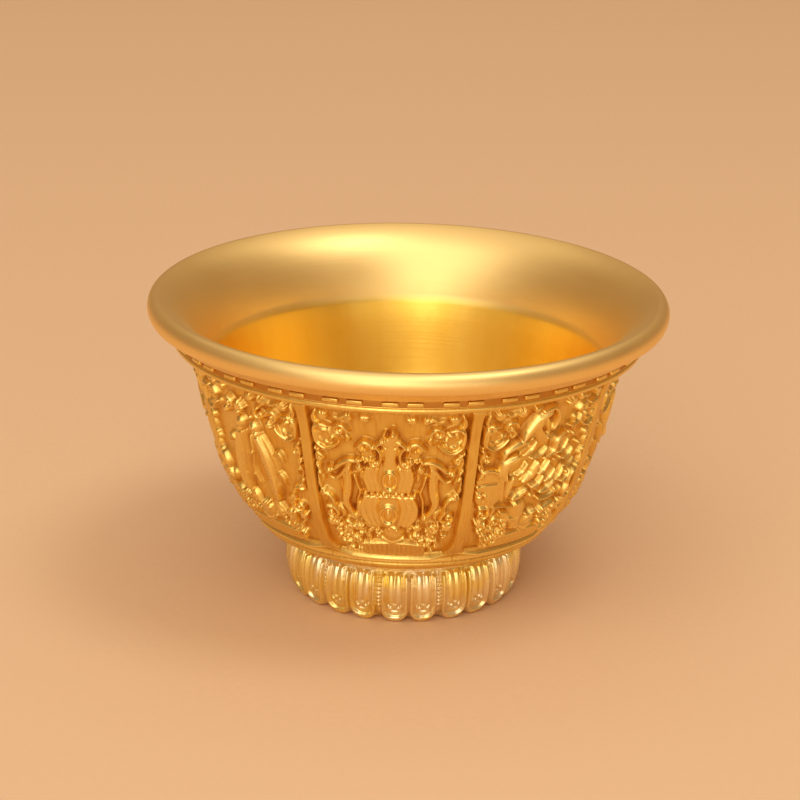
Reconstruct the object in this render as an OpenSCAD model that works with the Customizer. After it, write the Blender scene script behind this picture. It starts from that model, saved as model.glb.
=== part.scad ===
// Offering bowl: a turned cup with a flared lip, dressed with eight relief plaques between upright ribs,
// an upper band, a double moulding and a hollow lotus foot. The bowl stands on the XY plane, axis on Z.
// The first plaque faces -Y, turned by plaque_turn.

/* [Bowl] */
// Diameter over the lip
mouth_d = 85; // [78:1:92]
// Height from the table to the crest of the lip
bowl_h = 50.6; // [48:0.2:56]
// How far the lip's edge stands out beyond the waist, where the belly ends and the flare begins
flare_w = 8.6; // [7:0.1:10]
// Height of the lip's crest above the waist
flare_h = 16.1; // [14:0.1:18]
// How far the ribs stand out beyond the foot's neck at the lower moulding
base_out = 5.5; // [4.5:0.1:6.5]
// Height of the lower moulding's edge above the foot
base_rise = 2; // [1.6:0.1:2.6]

/* [Cup] */
// Thickness of the turned cup's wall
cup_t = 0.8; // [0.7:0.1:1.2]
// Depth of the cup's outer face below the face of the ribs
cup_depth = 1.9; // [1.8:0.1:2.4]
// Thickness of the cup's floor
floor_t = 1.5; // [1:0.1:2.5]
// How far the cup's flat floor ends inside the foot's neck
floor_in = 5.2; // [4:0.1:7]
// Thickness of the lip at its round edge
lip_t = 3.4; // [2.6:0.1:3.8]
// Height of the lip above the upper band
lip_h = 5.1; // [4.5:0.1:6]

/* [Plaques] */
// Height of the plaques' lower edge above the lower moulding's edge
plaque_rise = 2.5; // [2.2:0.1:3]
// Depth of the plaques' ground below the face of the ribs
ground_depth = 1.1; // [0.9:0.1:1.2]
// Height of the low relief above the ground
low_relief = 0.7; // [0.5:0.1:0.9]
// Height of the high relief above the ground
high_relief = 1.3; // [1:0.1:1.5]
// Turn of the first plaque from the front, in degrees
plaque_turn = -4.5; // [-22.5:0.5:22.5]

/* [Ribs] */
// Width of a rib's face at the waist
rib_w = 2.0; // [1.6:0.1:2.6]
// Width of the web that drops between two plaques, at the waist
web_w = 0.8; // [0.6:0.1:1.2]

/* [Bands] */
// Height of the upper band, from the plaques to the lip
band_h = 3.4; // [3:0.1:4]
// Diameter of the bead on the upper band
band_bead_d = 1.1; // [0.8:0.1:1.3]
// Height of the bead's middle above the plaques
bead_rise = 1.5; // [1.2:0.1:1.7]
// Number of pairs of dentils on the upper band
dentil_pairs = 26; // [20:1:30]
// Width of one dentil of the upper band
dentil_w = 2.5; // [2:0.1:3]
// Height of one dentil of the upper band
dentil_h = 0.7; // [0.5:0.1:0.9]
// How far a dentil stands out of the recess
dentil_t = 0.5; // [0.3:0.1:0.7]
// Depth of the dentils' recess behind the lip's lower edge
recess_depth = 1.1; // [0.9:0.1:1.3]
// Diameter of each bead of the lower moulding
moulding_bead_d = 1.1; // [0.8:0.1:1.3]

/* [Foot] */
// Height of the foot
foot_h = 10.4; // [9.6:0.1:11.2]
// Radius of the foot's wall at the table, behind the petals
foot_r = 17.4; // [16:0.1:18.5]
// How far the foot's wall bulges out beyond its radius at the table
bulge_out = 1.5; // [1:0.1:2]
// Height from the bulge to the petals' heads
bulge_drop = 2.6; // [2:0.1:3.4]
// How far the foot's neck stands out beyond the wall's radius at the table
neck_out = 0.8; // [0.4:0.1:1.2]
// Height of the neck over the petals' heads
neck_h = 1.8; // [1.4:0.1:2.2]
// Thickness of the foot's wall at the table
foot_wall_t = 1.6; // [1.2:0.1:2.4]
// Thickness of the foot's top plate
foot_plate_t = 1.6; // [1.2:0.1:2]
// Number of petals, each of two lobes
petals = 12; // [9:1:14]
// Space between two petals at the table
petal_gap = 1.7; // [1.2:0.1:2.2]
// Thickness of a lobe over the foot's wall
lobe_t = 0.8; // [0.6:0.1:1]
// Width of a lobe's raised rim
lobe_rim = 0.6; // [0.4:0.1:0.7]
// Height of a lobe's rim and ridges over its field
lobe_relief = 0.5; // [0.3:0.1:0.6]
// Number of pairs of knobs round the neck
knob_pairs = 24; // [16:1:28]
// Width of one knob of the neck
knob_w = 1.1; // [0.8:0.1:1.3]

/* [Hidden] */
SYMBOLS = ["vase", "conch", "lotus", "knot", "banner", "wheel", "parasol", "fish"];
PLAQUES = len(SYMBOLS);

gap = 0.1;     // solder film between two seated pieces
steps = 6;     // straight runs in the belly's curve, and as many in the flare's
petal_turn = 3;    // turn of the first petal from the front, in degrees
dentil_turn = -0.9;    // turn of the first pair of dentils from the front, in degrees
pair_share = 0.41;    // how far apart the two of a pair stand, as a share of the pairs' spacing
$fn = 48;

gold = "#d9a13a";
pale_gold = "#e8c069";
deep_gold = "#b9792a";

pitch = 360 / PLAQUES;
lip_r = mouth_d / 2;
bulge_r = foot_r + bulge_out;
neck_r = foot_r + neck_out;
hollow_r = foot_r - foot_wall_t;
petal_h = foot_h - neck_h;
bulge_z = petal_h - bulge_drop;
base_r = neck_r + base_out;
base_z = foot_h + base_rise;
floor_r = neck_r - floor_in;
waist_r = lip_r - flare_w;
waist_z = bowl_h - flare_h;
plaque_z = base_z + plaque_rise;
lip_z = bowl_h - lip_h;
plaque_top_z = lip_z - band_h;

function mix(a, b, t) = a + (b - a) * t;
function back_to_front(list) = [for (i = [len(list) - 1:-1:0]) list[i]];
function bezier(p, t) =
    pow(1 - t, 3) * p[0] + 3 * t * pow(1 - t, 2) * p[1] + 3 * t * t * (1 - t) * p[2] + pow(t, 3) * p[3];
function slope(p, t) =
    pow(1 - t, 2) * (p[1] - p[0]) + 2 * t * (1 - t) * (p[2] - p[1]) + t * t * (p[3] - p[2]);
function span_points(a, b, shares) =
    [a, for (s = shares) [mix(a.x, b.x, s.x), mix(a.y, b.y, s.y)], b];

// The wall curve is the face of the ribs, from the lower moulding to the lip's edge. The inner control
// points of its belly and its flare are shares of the spans that they bend.
belly_shares = [[0.57, 0.20], [0.78, 0.57]];
flare_shares = [[0.14, 0.45], [0.42, 0.76]];
lip_under = [lip_r - lip_t * 0.4, bowl_h - lip_t * 1.08];
belly = span_points([base_r, base_z], [waist_r, waist_z], belly_shares);
flare = span_points([waist_r, waist_z], lip_under, flare_shares);
// The place s runs from 0 at the lower moulding, through 1 at the waist, to 2 at the lip.
function wall_point(s) = s < 1 ? bezier(belly, s) : bezier(flare, s - 1);
function wall_slope(s) = let (v = s < 1 ? slope(belly, s) : slope(flare, s - 1)) v / norm(v);
// The point at distance d outwards from the wall curve.
function wall_off(s, d) = let (v = wall_slope(s)) wall_point(s) + d * [v.y, -v.x];
// The place s where the wall curve reaches height z, by halving.
function place_at(z, lo = 0, hi = 2, n = 24) =
    n == 0 ? (lo + hi) / 2
    : let (m = (lo + hi) / 2) wall_point(m).y > z ? place_at(z, lo, m, n - 1) : place_at(z, m, hi, n - 1);
// The two ends and the curve's own break points between them, so that seated pieces bend at one place.
function places(s0, s1) =
    concat([s0], [for (i = [0:2 * steps]) if (i > s0 * steps && i < s1 * steps) i / steps], [s1]);
function runs(n) = [for (i = [0:n]) i / n];

low_s = place_at(plaque_z);
high_s = place_at(plaque_top_z);
lip_s = place_at(lip_z);
plaque_h = plaque_top_z - plaque_z;
plaque_mid_z = (plaque_z + plaque_top_z) / 2;
web_a = 2 * asin(web_w / 2 / waist_r);
rib_a = 2 * asin(rib_w / 2 / waist_r);
gap_a = 2 * asin(gap / 2 / waist_r);

// A strip of the wall between two places and two distances from the curve, as a flat outline.
module strip(s0, s1, d0, d1) {
    at = places(s0, s1);
    polygon(concat([for (s = at) wall_off(s, d1)], [for (s = back_to_front(at)) wall_off(s, d0)]));
}

// A strip turned about the axis through an angle that is centred on the front.
module turned_strip(a, s0, s1, d0, d1)
    rotate([0, 0, -90 - a / 2])
        rotate_extrude(angle = a)
            strip(s0, s1, d0, d1);

// Seats children at an angle round the axis, with -Y outwards.
module around(a, r, z)
    rotate([0, 0, a])
        translate([0, -r, z])
            children();

// INNER CUP: one turned piece, from the floor through the belly to the flared lip and its round edge.
cup_seat_z = foot_h + gap;
edge_c = [lip_r - lip_t / 2, bowl_h - lip_t / 2];
crest = [edge_c.x, bowl_h];
throat = wall_off(1, -cup_depth - cup_t);
mouth_curve = [
    crest,
    [mix(throat.x, crest.x, 0.55), mix(throat.y, crest.y, 0.9)],
    throat + wall_slope(1) * (crest.x - throat.x),
    throat
];
// The curve that carries the cup's wall down into its flat floor.
function floor_curve(edge, flat) = [
    edge,
    edge - wall_slope(0) * (edge.y - flat.y) / wall_slope(0).y * 0.75,
    [mix(edge.x, flat.x, 0.55), flat.y],
    flat
];
floor_outside = floor_curve(wall_off(0, -cup_depth), [floor_r, cup_seat_z]);
floor_inside = floor_curve(wall_off(0, -cup_depth - cup_t), [floor_r, cup_seat_z + floor_t]);
module inner_cup()
    color(pale_gold)
        rotate_extrude(angle = 360)
            polygon(concat(
                [[0, cup_seat_z]],
                [for (t = back_to_front(runs(steps))) bezier(floor_outside, t)],
                [for (s = places(0, lip_s)) if (s > 0) wall_off(s, -cup_depth)],
                [for (s = places(lip_s, 2)) wall_off(s, 0)],
                [for (a = [-35:25:65]) edge_c + lip_t / 2 * [cos(a), sin(a)]],
                [for (t = runs(2 * steps)) bezier(mouth_curve, t)],
                [for (s = back_to_front(places(0, 1))) if (s < 1) wall_off(s, -cup_depth - cup_t)],
                [for (t = runs(steps)) if (t > 0) bezier(floor_inside, t)],
                [[0, cup_seat_z + floor_t]]
            ));

// UPPER BAND: a ring over the plaques' heads. Its face follows the wall up to a bead, and over the bead it
// is upright and set back under the lip, with a row of paired dentils.
band_back = -cup_depth + gap;
band_face = -ground_depth / 4;
module upper_band() {
    start_s = place_at(plaque_top_z + gap);
    end_s = place_at(lip_z - gap);
    recess_r = wall_point(lip_s).x - recess_depth;
    bead = [recess_r - band_bead_d / 4, plaque_top_z + bead_rise];
    recess_z = bead.y + band_bead_d / 2;
    pair_a = 360 / dentil_pairs;
    color(deep_gold) {
        rotate_extrude(angle = 360) {
            polygon(concat(
                [wall_off(start_s, band_face), wall_off(place_at(bead.y - band_bead_d / 2), band_face)],
                [[recess_r, recess_z], [recess_r, lip_z - gap]],
                [for (s = back_to_front(places(start_s, end_s))) wall_off(s, band_back)]
            ));
            translate(bead)
                circle(d = band_bead_d);
        }
        for (i = [0:dentil_pairs - 1], side = [-0.5, 0.5])
            around(dentil_turn + (i + side * pair_share) * pair_a, recess_r, mix(recess_z, lip_z, 0.42))
                cube([dentil_w, 2 * dentil_t, dentil_h], center = true);
    }
}

// LOWER MOULDING: a ring under the plaques' feet with two beads, seated on the foot round the cup.
seat_share = 0.55;
module lower_moulding() {
    end_s = place_at(plaque_z - gap);
    face = -ground_depth / 2;
    beads = [wall_off(mix(0, end_s, 0.6), face / 2), wall_off(0, face / 2)];
    inside = [for (t = runs(steps)) bezier(floor_outside, t * seat_share) + gap * [1, -1] / sqrt(2)];
    color(gold) {
        rotate_extrude(angle = 360)
            polygon(concat(
                [for (s = back_to_front(places(0, end_s))) wall_off(s, face)],
                [[base_r - moulding_bead_d, base_z - moulding_bead_d / 2]],
                [[neck_r + lobe_t, foot_h + gap]],
                [[inside[steps].x, foot_h + gap]],
                back_to_front(inside),
                [for (s = places(0, end_s)) if (s > 0) wall_off(s, band_back)]
            ));
        for (c = beads)
            rotate_extrude(angle = 360)
                translate(c)
                    circle(d = moulding_bead_d);
    }
}

// LOTUS FOOT: a hollow ring with a top plate, dressed with petals of two lobes each and a neck of knobs.
lobe_rise = lobe_rim / 2;    // height of a lobe's round end above the table
lobe_back = foot_r - lobe_t / 4;
lobe_half_a = (180 / petals - asin(petal_gap / 2 / foot_r)) / 2;    // half the angle that one lobe takes
lobe_w = 2 * foot_r * sin(lobe_half_a) - gap;
module foot_body()
    rotate_extrude(angle = 360)
        polygon([
            [hollow_r, 0], [foot_r, 0], [bulge_r, bulge_z], [neck_r, petal_h], [neck_r, foot_h],
            [0, foot_h], [0, foot_h - foot_plate_t], [hollow_r, foot_h - foot_plate_t]
        ]);
// The space over the foot's wall, out to a distance from it.
module petal_shell(d)
    rotate_extrude(angle = 360)
        polygon([
            [lobe_back, 0], [foot_r + d, 0], [bulge_r + d, bulge_z], [neck_r + d, petal_h],
            [lobe_back, petal_h]
        ]);
// A lobe's outline, set in from its edge: straight sides on a round end, in straight runs.
function lobe_points(inset, end_z, top_z) = let (r = lobe_w / 2 - inset) concat(
    [[r, top_z]], [for (a = [0:-30:-180]) [r * cos(a), end_z + r + r * sin(a)]], [[-r, top_z]]
);
module lobe_relief_outline() {
    ridge_w = lobe_rim * 1.1;
    ridge_z = petal_h * 0.34;
    top_z = petal_h - 2 * gap;
    difference() {
        polygon(lobe_points(gap, lobe_rise + gap, top_z));
        polygon(lobe_points(gap + lobe_rim, lobe_rise + lobe_rim * 1.6, petal_h));
    }
    for (side = [-1, 1])
        translate([side * ridge_w * 0.75 - ridge_w / 2, ridge_z])
            square([ridge_w, top_z - ridge_z]);
}
module lobe_prisms()
    for (i = [0:petals - 1], side = [-1, 1])
        rotate([0, 0, petal_turn + i * 360 / petals + side * lobe_half_a])
            rotate([90, 0, 0])
                translate([0, 0, hollow_r])
                    linear_extrude(base_r - hollow_r)
                        children();
module lotus_foot() {
    pair_a = 360 / knob_pairs;
    knob_h = foot_h - petal_h;
    color(gold) {
        foot_body();
        intersection() {
            petal_shell(lobe_t);
            lobe_prisms()
                polygon(lobe_points(0, lobe_rise, petal_h - gap));
        }
        intersection() {
            petal_shell(lobe_t + lobe_relief);
            lobe_prisms()
                lobe_relief_outline();
        }
        for (i = [0:knob_pairs - 1], side = [-0.5, 0.5])
            around(petal_turn + (i + side * pair_share) * pair_a, neck_r, petal_h + knob_h / 2)
                cube([knob_w, 2 * lobe_t, knob_h * 0.7], center = true);
    }
}

// Flat forms of the relief, on a plaque's own plane: x to the right, y up from its middle.
function oval_points(a, b, n = 14) = [for (i = [0:n - 1]) [a * cos(360 * i / n), b * sin(360 * i / n)]];
function leaf_points(l, w, n = 6) = concat(
    [for (i = [0:n]) [l * (i / n - 0.5), w / 2 * sin(180 * i / n)]],
    [for (i = [n - 1:-1:1]) [l * (i / n - 0.5), -w / 2 * sin(180 * i / n)]]
);
function arc_points(r, w, a0, a1, n = 8) = concat(
    [for (i = [0:n]) (r + w / 2) * [cos(mix(a0, a1, i / n)), sin(mix(a0, a1, i / n))]],
    [for (i = [n:-1:0]) (r - w / 2) * [cos(mix(a0, a1, i / n)), sin(mix(a0, a1, i / n))]]
);
function bar_points(l, w) = [[-l, -w], [l, -w], [l, w], [-l, w]] / 2;
module relief_form(row)
    translate([row[1], row[2]] * plaque_h)
        rotate(row[0] == "arc" ? 0 : row[5])
            polygon(plaque_h * (
                row[0] == "oval" ? oval_points(row[3], row[4])
                : row[0] == "leaf" ? leaf_points(row[3], row[4])
                : row[0] == "arc" ? arc_points(row[3], row[4], row[5], row[6])
                : bar_points(row[3], row[4])
            ));

// Relief tables. Each row is a form, its middle, its two sizes and its turn, in shares of a plaque's
// height: an oval's half axes, a leaf's or a bar's length and width, an arc's radius, width and two angles.
vase_low_shares = [
    ["oval", 0, -0.15, 0.175, 0.105, 0], ["oval", 0, 0.06, 0.14, 0.095, 0], ["bar", 0, -0.045, 0.27, 0.05, 0],
    ["leaf", 0, 0.23, 0.26, 0.12, 90], ["arc", -0.115, 0.20, 0.075, 0.04, -60, 150],
    ["arc", 0.115, 0.20, 0.075, 0.04, 30, 240], ["oval", 0, -0.30, 0.11, 0.06, 0],
    ["leaf", -0.215, -0.10, 0.28, 0.06, 75], ["leaf", 0.215, -0.10, 0.28, 0.06, 105]
];
vase_high_shares = [
    ["oval", 0, -0.15, 0.055, 0.08, 0], ["oval", -0.10, -0.15, 0.035, 0.075, 0],
    ["oval", 0.10, -0.15, 0.035, 0.075, 0], ["oval", 0, 0.065, 0.05, 0.07, 0],
    ["oval", -0.085, 0.065, 0.028, 0.06, 0], ["oval", 0.085, 0.065, 0.028, 0.06, 0],
    ["bar", 0, -0.045, 0.25, 0.025, 0], ["oval", 0, 0.355, 0.03, 0.04, 0]
];
conch_low_shares = [
    ["leaf", 0.02, 0.08, 0.62, 0.28, 50], ["leaf", 0.17, 0.06, 0.34, 0.13, 35],
    ["leaf", -0.20, -0.12, 0.22, 0.12, 80], ["leaf", 0.12, -0.14, 0.32, 0.10, 30],
    ["arc", 0.02, -0.22, 0.20, 0.05, 190, 350], ["leaf", -0.22, 0.20, 0.20, 0.06, 65]
];
conch_high_shares = [
    ["oval", -0.135, -0.02, 0.075, 0.055, 45], ["oval", -0.085, 0.085, 0.08, 0.05, 40],
    ["oval", -0.015, 0.165, 0.075, 0.045, 40], ["oval", 0.055, 0.25, 0.075, 0.05, 40],
    ["leaf", 0.07, 0.07, 0.24, 0.10, 45], ["leaf", 0.10, -0.16, 0.18, 0.05, 40]
];
parasol_low_shares = [
    ["oval", 0, 0.16, 0.27, 0.13, 0], ["bar", 0, 0.08, 0.52, 0.14, 0], ["bar", 0, -0.14, 0.04, 0.38, 0],
    ["leaf", -0.20, -0.10, 0.34, 0.08, 75], ["leaf", 0.20, -0.10, 0.34, 0.08, 105],
    ["oval", 0, -0.32, 0.07, 0.04, 0], ["oval", 0, 0.32, 0.04, 0.06, 0]
];
parasol_high_shares = [
    ["oval", 0, 0.19, 0.05, 0.10, 0], ["oval", -0.12, 0.17, 0.045, 0.09, 20],
    ["oval", 0.12, 0.17, 0.045, 0.09, -20], ["bar", 0, 0.09, 0.48, 0.03, 0],
    ["oval", 0, 0.33, 0.025, 0.035, 0]
];
fish_low_shares = [
    ["leaf", -0.12, 0.02, 0.52, 0.17, 78], ["leaf", 0.12, 0.02, 0.52, 0.17, 102],
    ["leaf", -0.10, -0.25, 0.17, 0.07, 35], ["leaf", -0.17, -0.25, 0.17, 0.07, 115],
    ["leaf", 0.10, -0.25, 0.17, 0.07, 145], ["leaf", 0.17, -0.25, 0.17, 0.07, 65],
    ["leaf", -0.23, 0.05, 0.14, 0.06, 120], ["leaf", 0.23, 0.05, 0.14, 0.06, 60],
    ["oval", 0, 0.32, 0.05, 0.05, 0]
];
fish_high_shares = [
    ["leaf", -0.12, 0.03, 0.44, 0.10, 78], ["leaf", 0.12, 0.03, 0.44, 0.10, 102],
    ["oval", 0, 0.32, 0.03, 0.03, 0]
];
lotus_low_shares = [
    ["leaf", 0, 0.06, 0.44, 0.16, 90], ["leaf", -0.10, 0.04, 0.40, 0.15, 115],
    ["leaf", 0.10, 0.04, 0.40, 0.15, 65], ["leaf", -0.17, -0.02, 0.34, 0.13, 145],
    ["leaf", 0.17, -0.02, 0.34, 0.13, 35], ["bar", 0, -0.24, 0.04, 0.26, 0],
    ["leaf", -0.13, -0.25, 0.24, 0.09, 160], ["leaf", 0.13, -0.25, 0.24, 0.09, 20]
];
lotus_high_shares = [
    ["leaf", 0, 0.05, 0.36, 0.10, 90], ["leaf", -0.12, 0.03, 0.28, 0.07, 122],
    ["leaf", 0.12, 0.03, 0.28, 0.07, 58], ["oval", 0, -0.10, 0.07, 0.04, 0]
];
knot_low_shares = [
    ["bar", 0, 0.02, 0.50, 0.05, 45], ["bar", 0, 0.02, 0.50, 0.05, -45], ["bar", 0.09, 0.11, 0.30, 0.05, 45],
    ["bar", -0.09, -0.07, 0.30, 0.05, 45], ["bar", -0.09, 0.11, 0.30, 0.05, -45],
    ["bar", 0.09, -0.07, 0.30, 0.05, -45], ["arc", 0, 0.25, 0.065, 0.045, -50, 230],
    ["arc", 0, -0.21, 0.065, 0.045, 130, 410], ["arc", -0.22, 0.02, 0.065, 0.045, 40, 320],
    ["arc", 0.22, 0.02, 0.065, 0.045, 220, 500]
];
knot_high_shares = [["bar", 0, 0.02, 0.34, 0.03, 45], ["bar", 0, 0.02, 0.34, 0.03, -45]];
wheel_low_shares = [
    ["arc", 0, 0.03, 0.205, 0.07, 0, 180], ["arc", 0, 0.03, 0.205, 0.07, 180, 360],
    ["oval", 0, 0.03, 0.075, 0.075, 0], ["bar", 0, 0.03, 0.42, 0.035, 0], ["bar", 0, 0.03, 0.42, 0.035, 45],
    ["bar", 0, 0.03, 0.42, 0.035, 90], ["bar", 0, 0.03, 0.42, 0.035, 135],
    ["leaf", -0.16, -0.28, 0.26, 0.09, 15], ["leaf", 0.16, -0.28, 0.26, 0.09, 165],
    ["oval", 0, -0.26, 0.09, 0.05, 0]
];
wheel_high_shares = [
    ["arc", 0, 0.03, 0.205, 0.035, 0, 180], ["arc", 0, 0.03, 0.205, 0.035, 180, 360],
    ["oval", 0, 0.03, 0.045, 0.045, 0]
];
banner_low_shares = [
    ["bar", 0, 0.02, 0.24, 0.42, 0], ["oval", 0, 0.25, 0.17, 0.08, 0], ["oval", 0, 0.34, 0.05, 0.06, 0],
    ["leaf", -0.18, -0.06, 0.50, 0.10, 82], ["leaf", 0.18, -0.06, 0.50, 0.10, 98],
    ["bar", 0, -0.26, 0.05, 0.20, 0], ["oval", 0, -0.22, 0.14, 0.05, 0]
];
banner_high_shares = [
    ["bar", 0, 0.02, 0.07, 0.40, 0], ["bar", 0, 0.20, 0.28, 0.04, 0], ["bar", 0, 0.03, 0.22, 0.03, 0],
    ["bar", 0, -0.16, 0.24, 0.04, 0], ["oval", 0, 0.35, 0.025, 0.04, 0]
];
low_shares = [vase_low_shares, conch_low_shares, lotus_low_shares, knot_low_shares, banner_low_shares,
    wheel_low_shares, parasol_low_shares, fish_low_shares];
high_shares = [vase_high_shares, conch_high_shares, lotus_high_shares, knot_high_shares, banner_high_shares,
    wheel_high_shares, parasol_high_shares, fish_high_shares];
// The scrolls in the right half of every plaque, and mirrored in its left half.
scroll_shares = [
    ["arc", 0.345, 0.30, 0.055, 0.035, -150, 170], ["arc", 0.235, 0.40, 0.05, 0.035, -100, 200],
    ["arc", 0.25, -0.36, 0.055, 0.035, -60, 230], ["arc", 0.315, -0.22, 0.05, 0.035, -200, 100],
    ["leaf", 0.335, 0.12, 0.16, 0.05, 80], ["leaf", 0.315, -0.06, 0.18, 0.05, 100],
    ["leaf", 0.12, -0.42, 0.16, 0.06, 10], ["leaf", 0.12, 0.43, 0.14, 0.05, -15]
];

// A layer of relief: flat forms pushed out along the radius and trimmed to one height over the ground.
module relief_layer(height)
    intersection() {
        turned_strip(pitch - rib_a - 2 * gap_a, low_s, high_s,
            -(cup_depth + ground_depth) / 2, height - ground_depth);
        translate([0, 0, plaque_mid_z])
            rotate([90, 0, 0])
                linear_extrude(lip_r)
                    children();
    }

// PLAQUE: one plate with an auspicious sign in two heights of relief, and scrolls round it.
module panel(i)
    color(gold)
        rotate([0, 0, plaque_turn + i * pitch]) {
            turned_strip(pitch - web_a - gap_a, low_s, high_s, band_back, -ground_depth);
            relief_layer(low_relief) {
                for (row = low_shares[i])
                    relief_form(row);
                for (row = scroll_shares, side = [0, 1])
                    mirror([side, 0])
                        relief_form(row);
            }
            relief_layer(high_relief)
                for (row = high_shares[i])
                    relief_form(row);
        }

// RIB: a flat upright strip over the joint of two plaques, with a web that drops between them.
module rib(i)
    color(deep_gold)
        rotate([0, 0, plaque_turn + (i - 0.5) * pitch]) {
            turned_strip(rib_a, low_s, high_s, gap - ground_depth, 0);
            turned_strip(web_a - gap_a, low_s, high_s, band_back, -ground_depth / 2);
        }

inner_cup();
upper_band();
lower_moulding();
lotus_foot();
for (i = [0:PLAQUES - 1])
    panel(i);
for (i = [1:PLAQUES])
    rib(i);
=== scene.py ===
import math

import bmesh
import bpy
import numpy as np
from mathutils import Matrix, Vector


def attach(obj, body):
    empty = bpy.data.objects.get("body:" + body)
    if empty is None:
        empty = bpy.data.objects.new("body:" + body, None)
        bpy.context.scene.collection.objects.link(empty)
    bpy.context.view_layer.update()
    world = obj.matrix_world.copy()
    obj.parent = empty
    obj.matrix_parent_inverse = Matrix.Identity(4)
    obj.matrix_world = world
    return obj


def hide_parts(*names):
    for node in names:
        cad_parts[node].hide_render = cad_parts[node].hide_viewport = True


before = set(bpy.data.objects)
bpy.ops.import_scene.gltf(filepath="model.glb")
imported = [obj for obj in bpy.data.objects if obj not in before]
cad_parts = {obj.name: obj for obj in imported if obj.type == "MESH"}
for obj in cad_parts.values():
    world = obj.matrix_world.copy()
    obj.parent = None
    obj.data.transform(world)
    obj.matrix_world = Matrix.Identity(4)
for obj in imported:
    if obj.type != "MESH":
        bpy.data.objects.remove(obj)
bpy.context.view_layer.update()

MM = 0.001

# Sizes of the bowl, in millimetres. Depths are measured inwards from the wall curve.
MOUTH_D = 85.0
BOWL_H = 50.6
BASE_R, BASE_Z = 23.7, 12.4  # the wall curve's lower end
WAIST_R, WAIST_Z = 33.9, 34.5  # where its belly turns into its flare
LIP_T = 3.4
LIP_R = MOUTH_D / 2 - 0.04  # a trace inside the solid's facets
LIP_STRETCH = 1.16  # of the lip's round edge, in height
CUP_T, CUP_DEPTH = 0.8, 1.9
FLOOR_R, FLOOR_T = 13.0, 1.5
CREASE_Z, CREASE_DEPTH = 38.9, 0.22  # the edge inside, from which the satin flare goes up to the lip
LIP_H, BAND_H = 5.1, 3.4
LIP_Z = BOWL_H - LIP_H
PLAQUE_TOP_Z = LIP_Z - BAND_H
GAP = 0.1
BACK_DEPTH = CUP_DEPTH - GAP  # of what lies on the cup
GROUND_DEPTH = 1.1
BAND_DEPTH, MOULDING_DEPTH = 0.66, 0.62
RECESS_DEPTH, BAND_BEAD_D, BEAD_RISE, DENTIL_T = 1.1, 1.1, 1.5, 0.5
RIB_W = 2.0
RIB_Z = 14.6  # the moulding's upper end and the ribs' lower end
RIM_Z, THIN_BEAD_Z = 14.25, 13.42  # the moulded line and the thin bead on a plaque's foot
FOOT_H, FOOT_R, BULGE_R, BULGE_Z, NECK_R = 10.4, 17.4, 18.9, 6.0, 18.2
HOLLOW_R, FOOT_PLATE_T, PETAL_H = 15.8, 1.6, 8.6
LOBE_T = 0.8
SEAT_Z = FOOT_H + GAP  # the cup's and the moulding's seat on the foot

# Counts, and turns from the front in degrees
PITCH, PLAQUE_TURN = 360 / 8, -4.5
PETALS, PETAL_TURN = 12, 3.0
DENTIL_PAIRS, DENTIL_TURN = 26, -0.85
KNOB_PAIRS = 24
PAIR_SHARE = 0.41  # the gap in a pair, as a share of the pairs' pitch

# Colours, from the darker to the lighter share where there are two
CUP_GOLD = (0.94, 0.61, 0.10), (0.96, 0.66, 0.13)
# Next: the darker gold of the cup's painted reflection streaks, and the flare's satin gold
STREAK_REFLECTION_GOLD, FLARE_GOLD = (0.90, 0.56, 0.08), (0.98, 0.71, 0.28)
RELIEF_GOLD = (0.85, 0.56, 0.13), (0.91, 0.63, 0.16)
# A paler gold for the foot: painted reflection of the table and painted light
FOOT_SHEEN_GOLD = (1.0, 0.80, 0.27), (1.0, 0.85, 0.48)
# Next: the painted highlight gold for raised relief, the strokes' colour and the patches' colour
RAISED_HIGHLIGHT_GOLD, STROKE_GOLD, PATCH_GOLD = (0.96, 0.69, 0.21), (0.74, 0.38, 0.06), (0.86, 0.50, 0.10)
# Painted shade for recesses
HOLLOW_SHADE_BROWN = (0.52, 0.20, 0.03)
TABLE = (0.825, 0.55, 0.31), (0.875, 0.58, 0.33)
WORLD = (1.0, 0.64, 0.38)


# The wall curve: the solids' two cubic curves, with places from 0 to 2 along them

def cubic(p, t):
    t = np.asarray(t, float)[..., None]
    return (1 - t) ** 3 * p[0] + 3 * t * (1 - t) ** 2 * p[1] + 3 * t * t * (1 - t) * p[2] + t ** 3 * p[3]


def cubic_slope(p, t):
    t = np.asarray(t, float)[..., None]
    return (1 - t) ** 2 * (p[1] - p[0]) + 2 * t * (1 - t) * (p[2] - p[1]) + t * t * (p[3] - p[2])


def span(a, b, shares):
    """A cubic's four points, with the middle two as shares of the way from a to b."""
    a, b = np.array(a), np.array(b)
    return np.array([a] + [a + (b - a) * np.array(s) for s in shares] + [b])


LIP_UNDER = (LIP_R - LIP_T * 0.4, BOWL_H - LIP_T * 1.08)
BELLY = span((BASE_R, BASE_Z), (WAIST_R, WAIST_Z), [(0.57, 0.20), (0.78, 0.57)])
FLARE = span((WAIST_R, WAIST_Z), LIP_UNDER, [(0.14, 0.45), (0.42, 0.76)])


def wall(s, out=0.0):
    """Points (r, z) of the wall at the places s, moved out along the wall's normal."""
    s = np.asarray(s, float)
    low, high = np.clip(s, None, 1), np.clip(s, 1, 2) - 1
    belly = (s < 1)[..., None]
    at = np.where(belly, cubic(BELLY, low), cubic(FLARE, high))
    v = np.where(belly, cubic_slope(BELLY, low), cubic_slope(FLARE, high))
    v = v / np.linalg.norm(v, axis=-1, keepdims=True)
    return at + np.asarray(out, float)[..., None] * np.stack([v[..., 1], -v[..., 0]], -1)


FINE_S = np.linspace(0, 2, 2001)
FINE_Z = wall(FINE_S)[:, 1]


def place_at(z):
    """The place on the wall at the height z."""
    return np.interp(z, FINE_Z, FINE_S)


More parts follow.
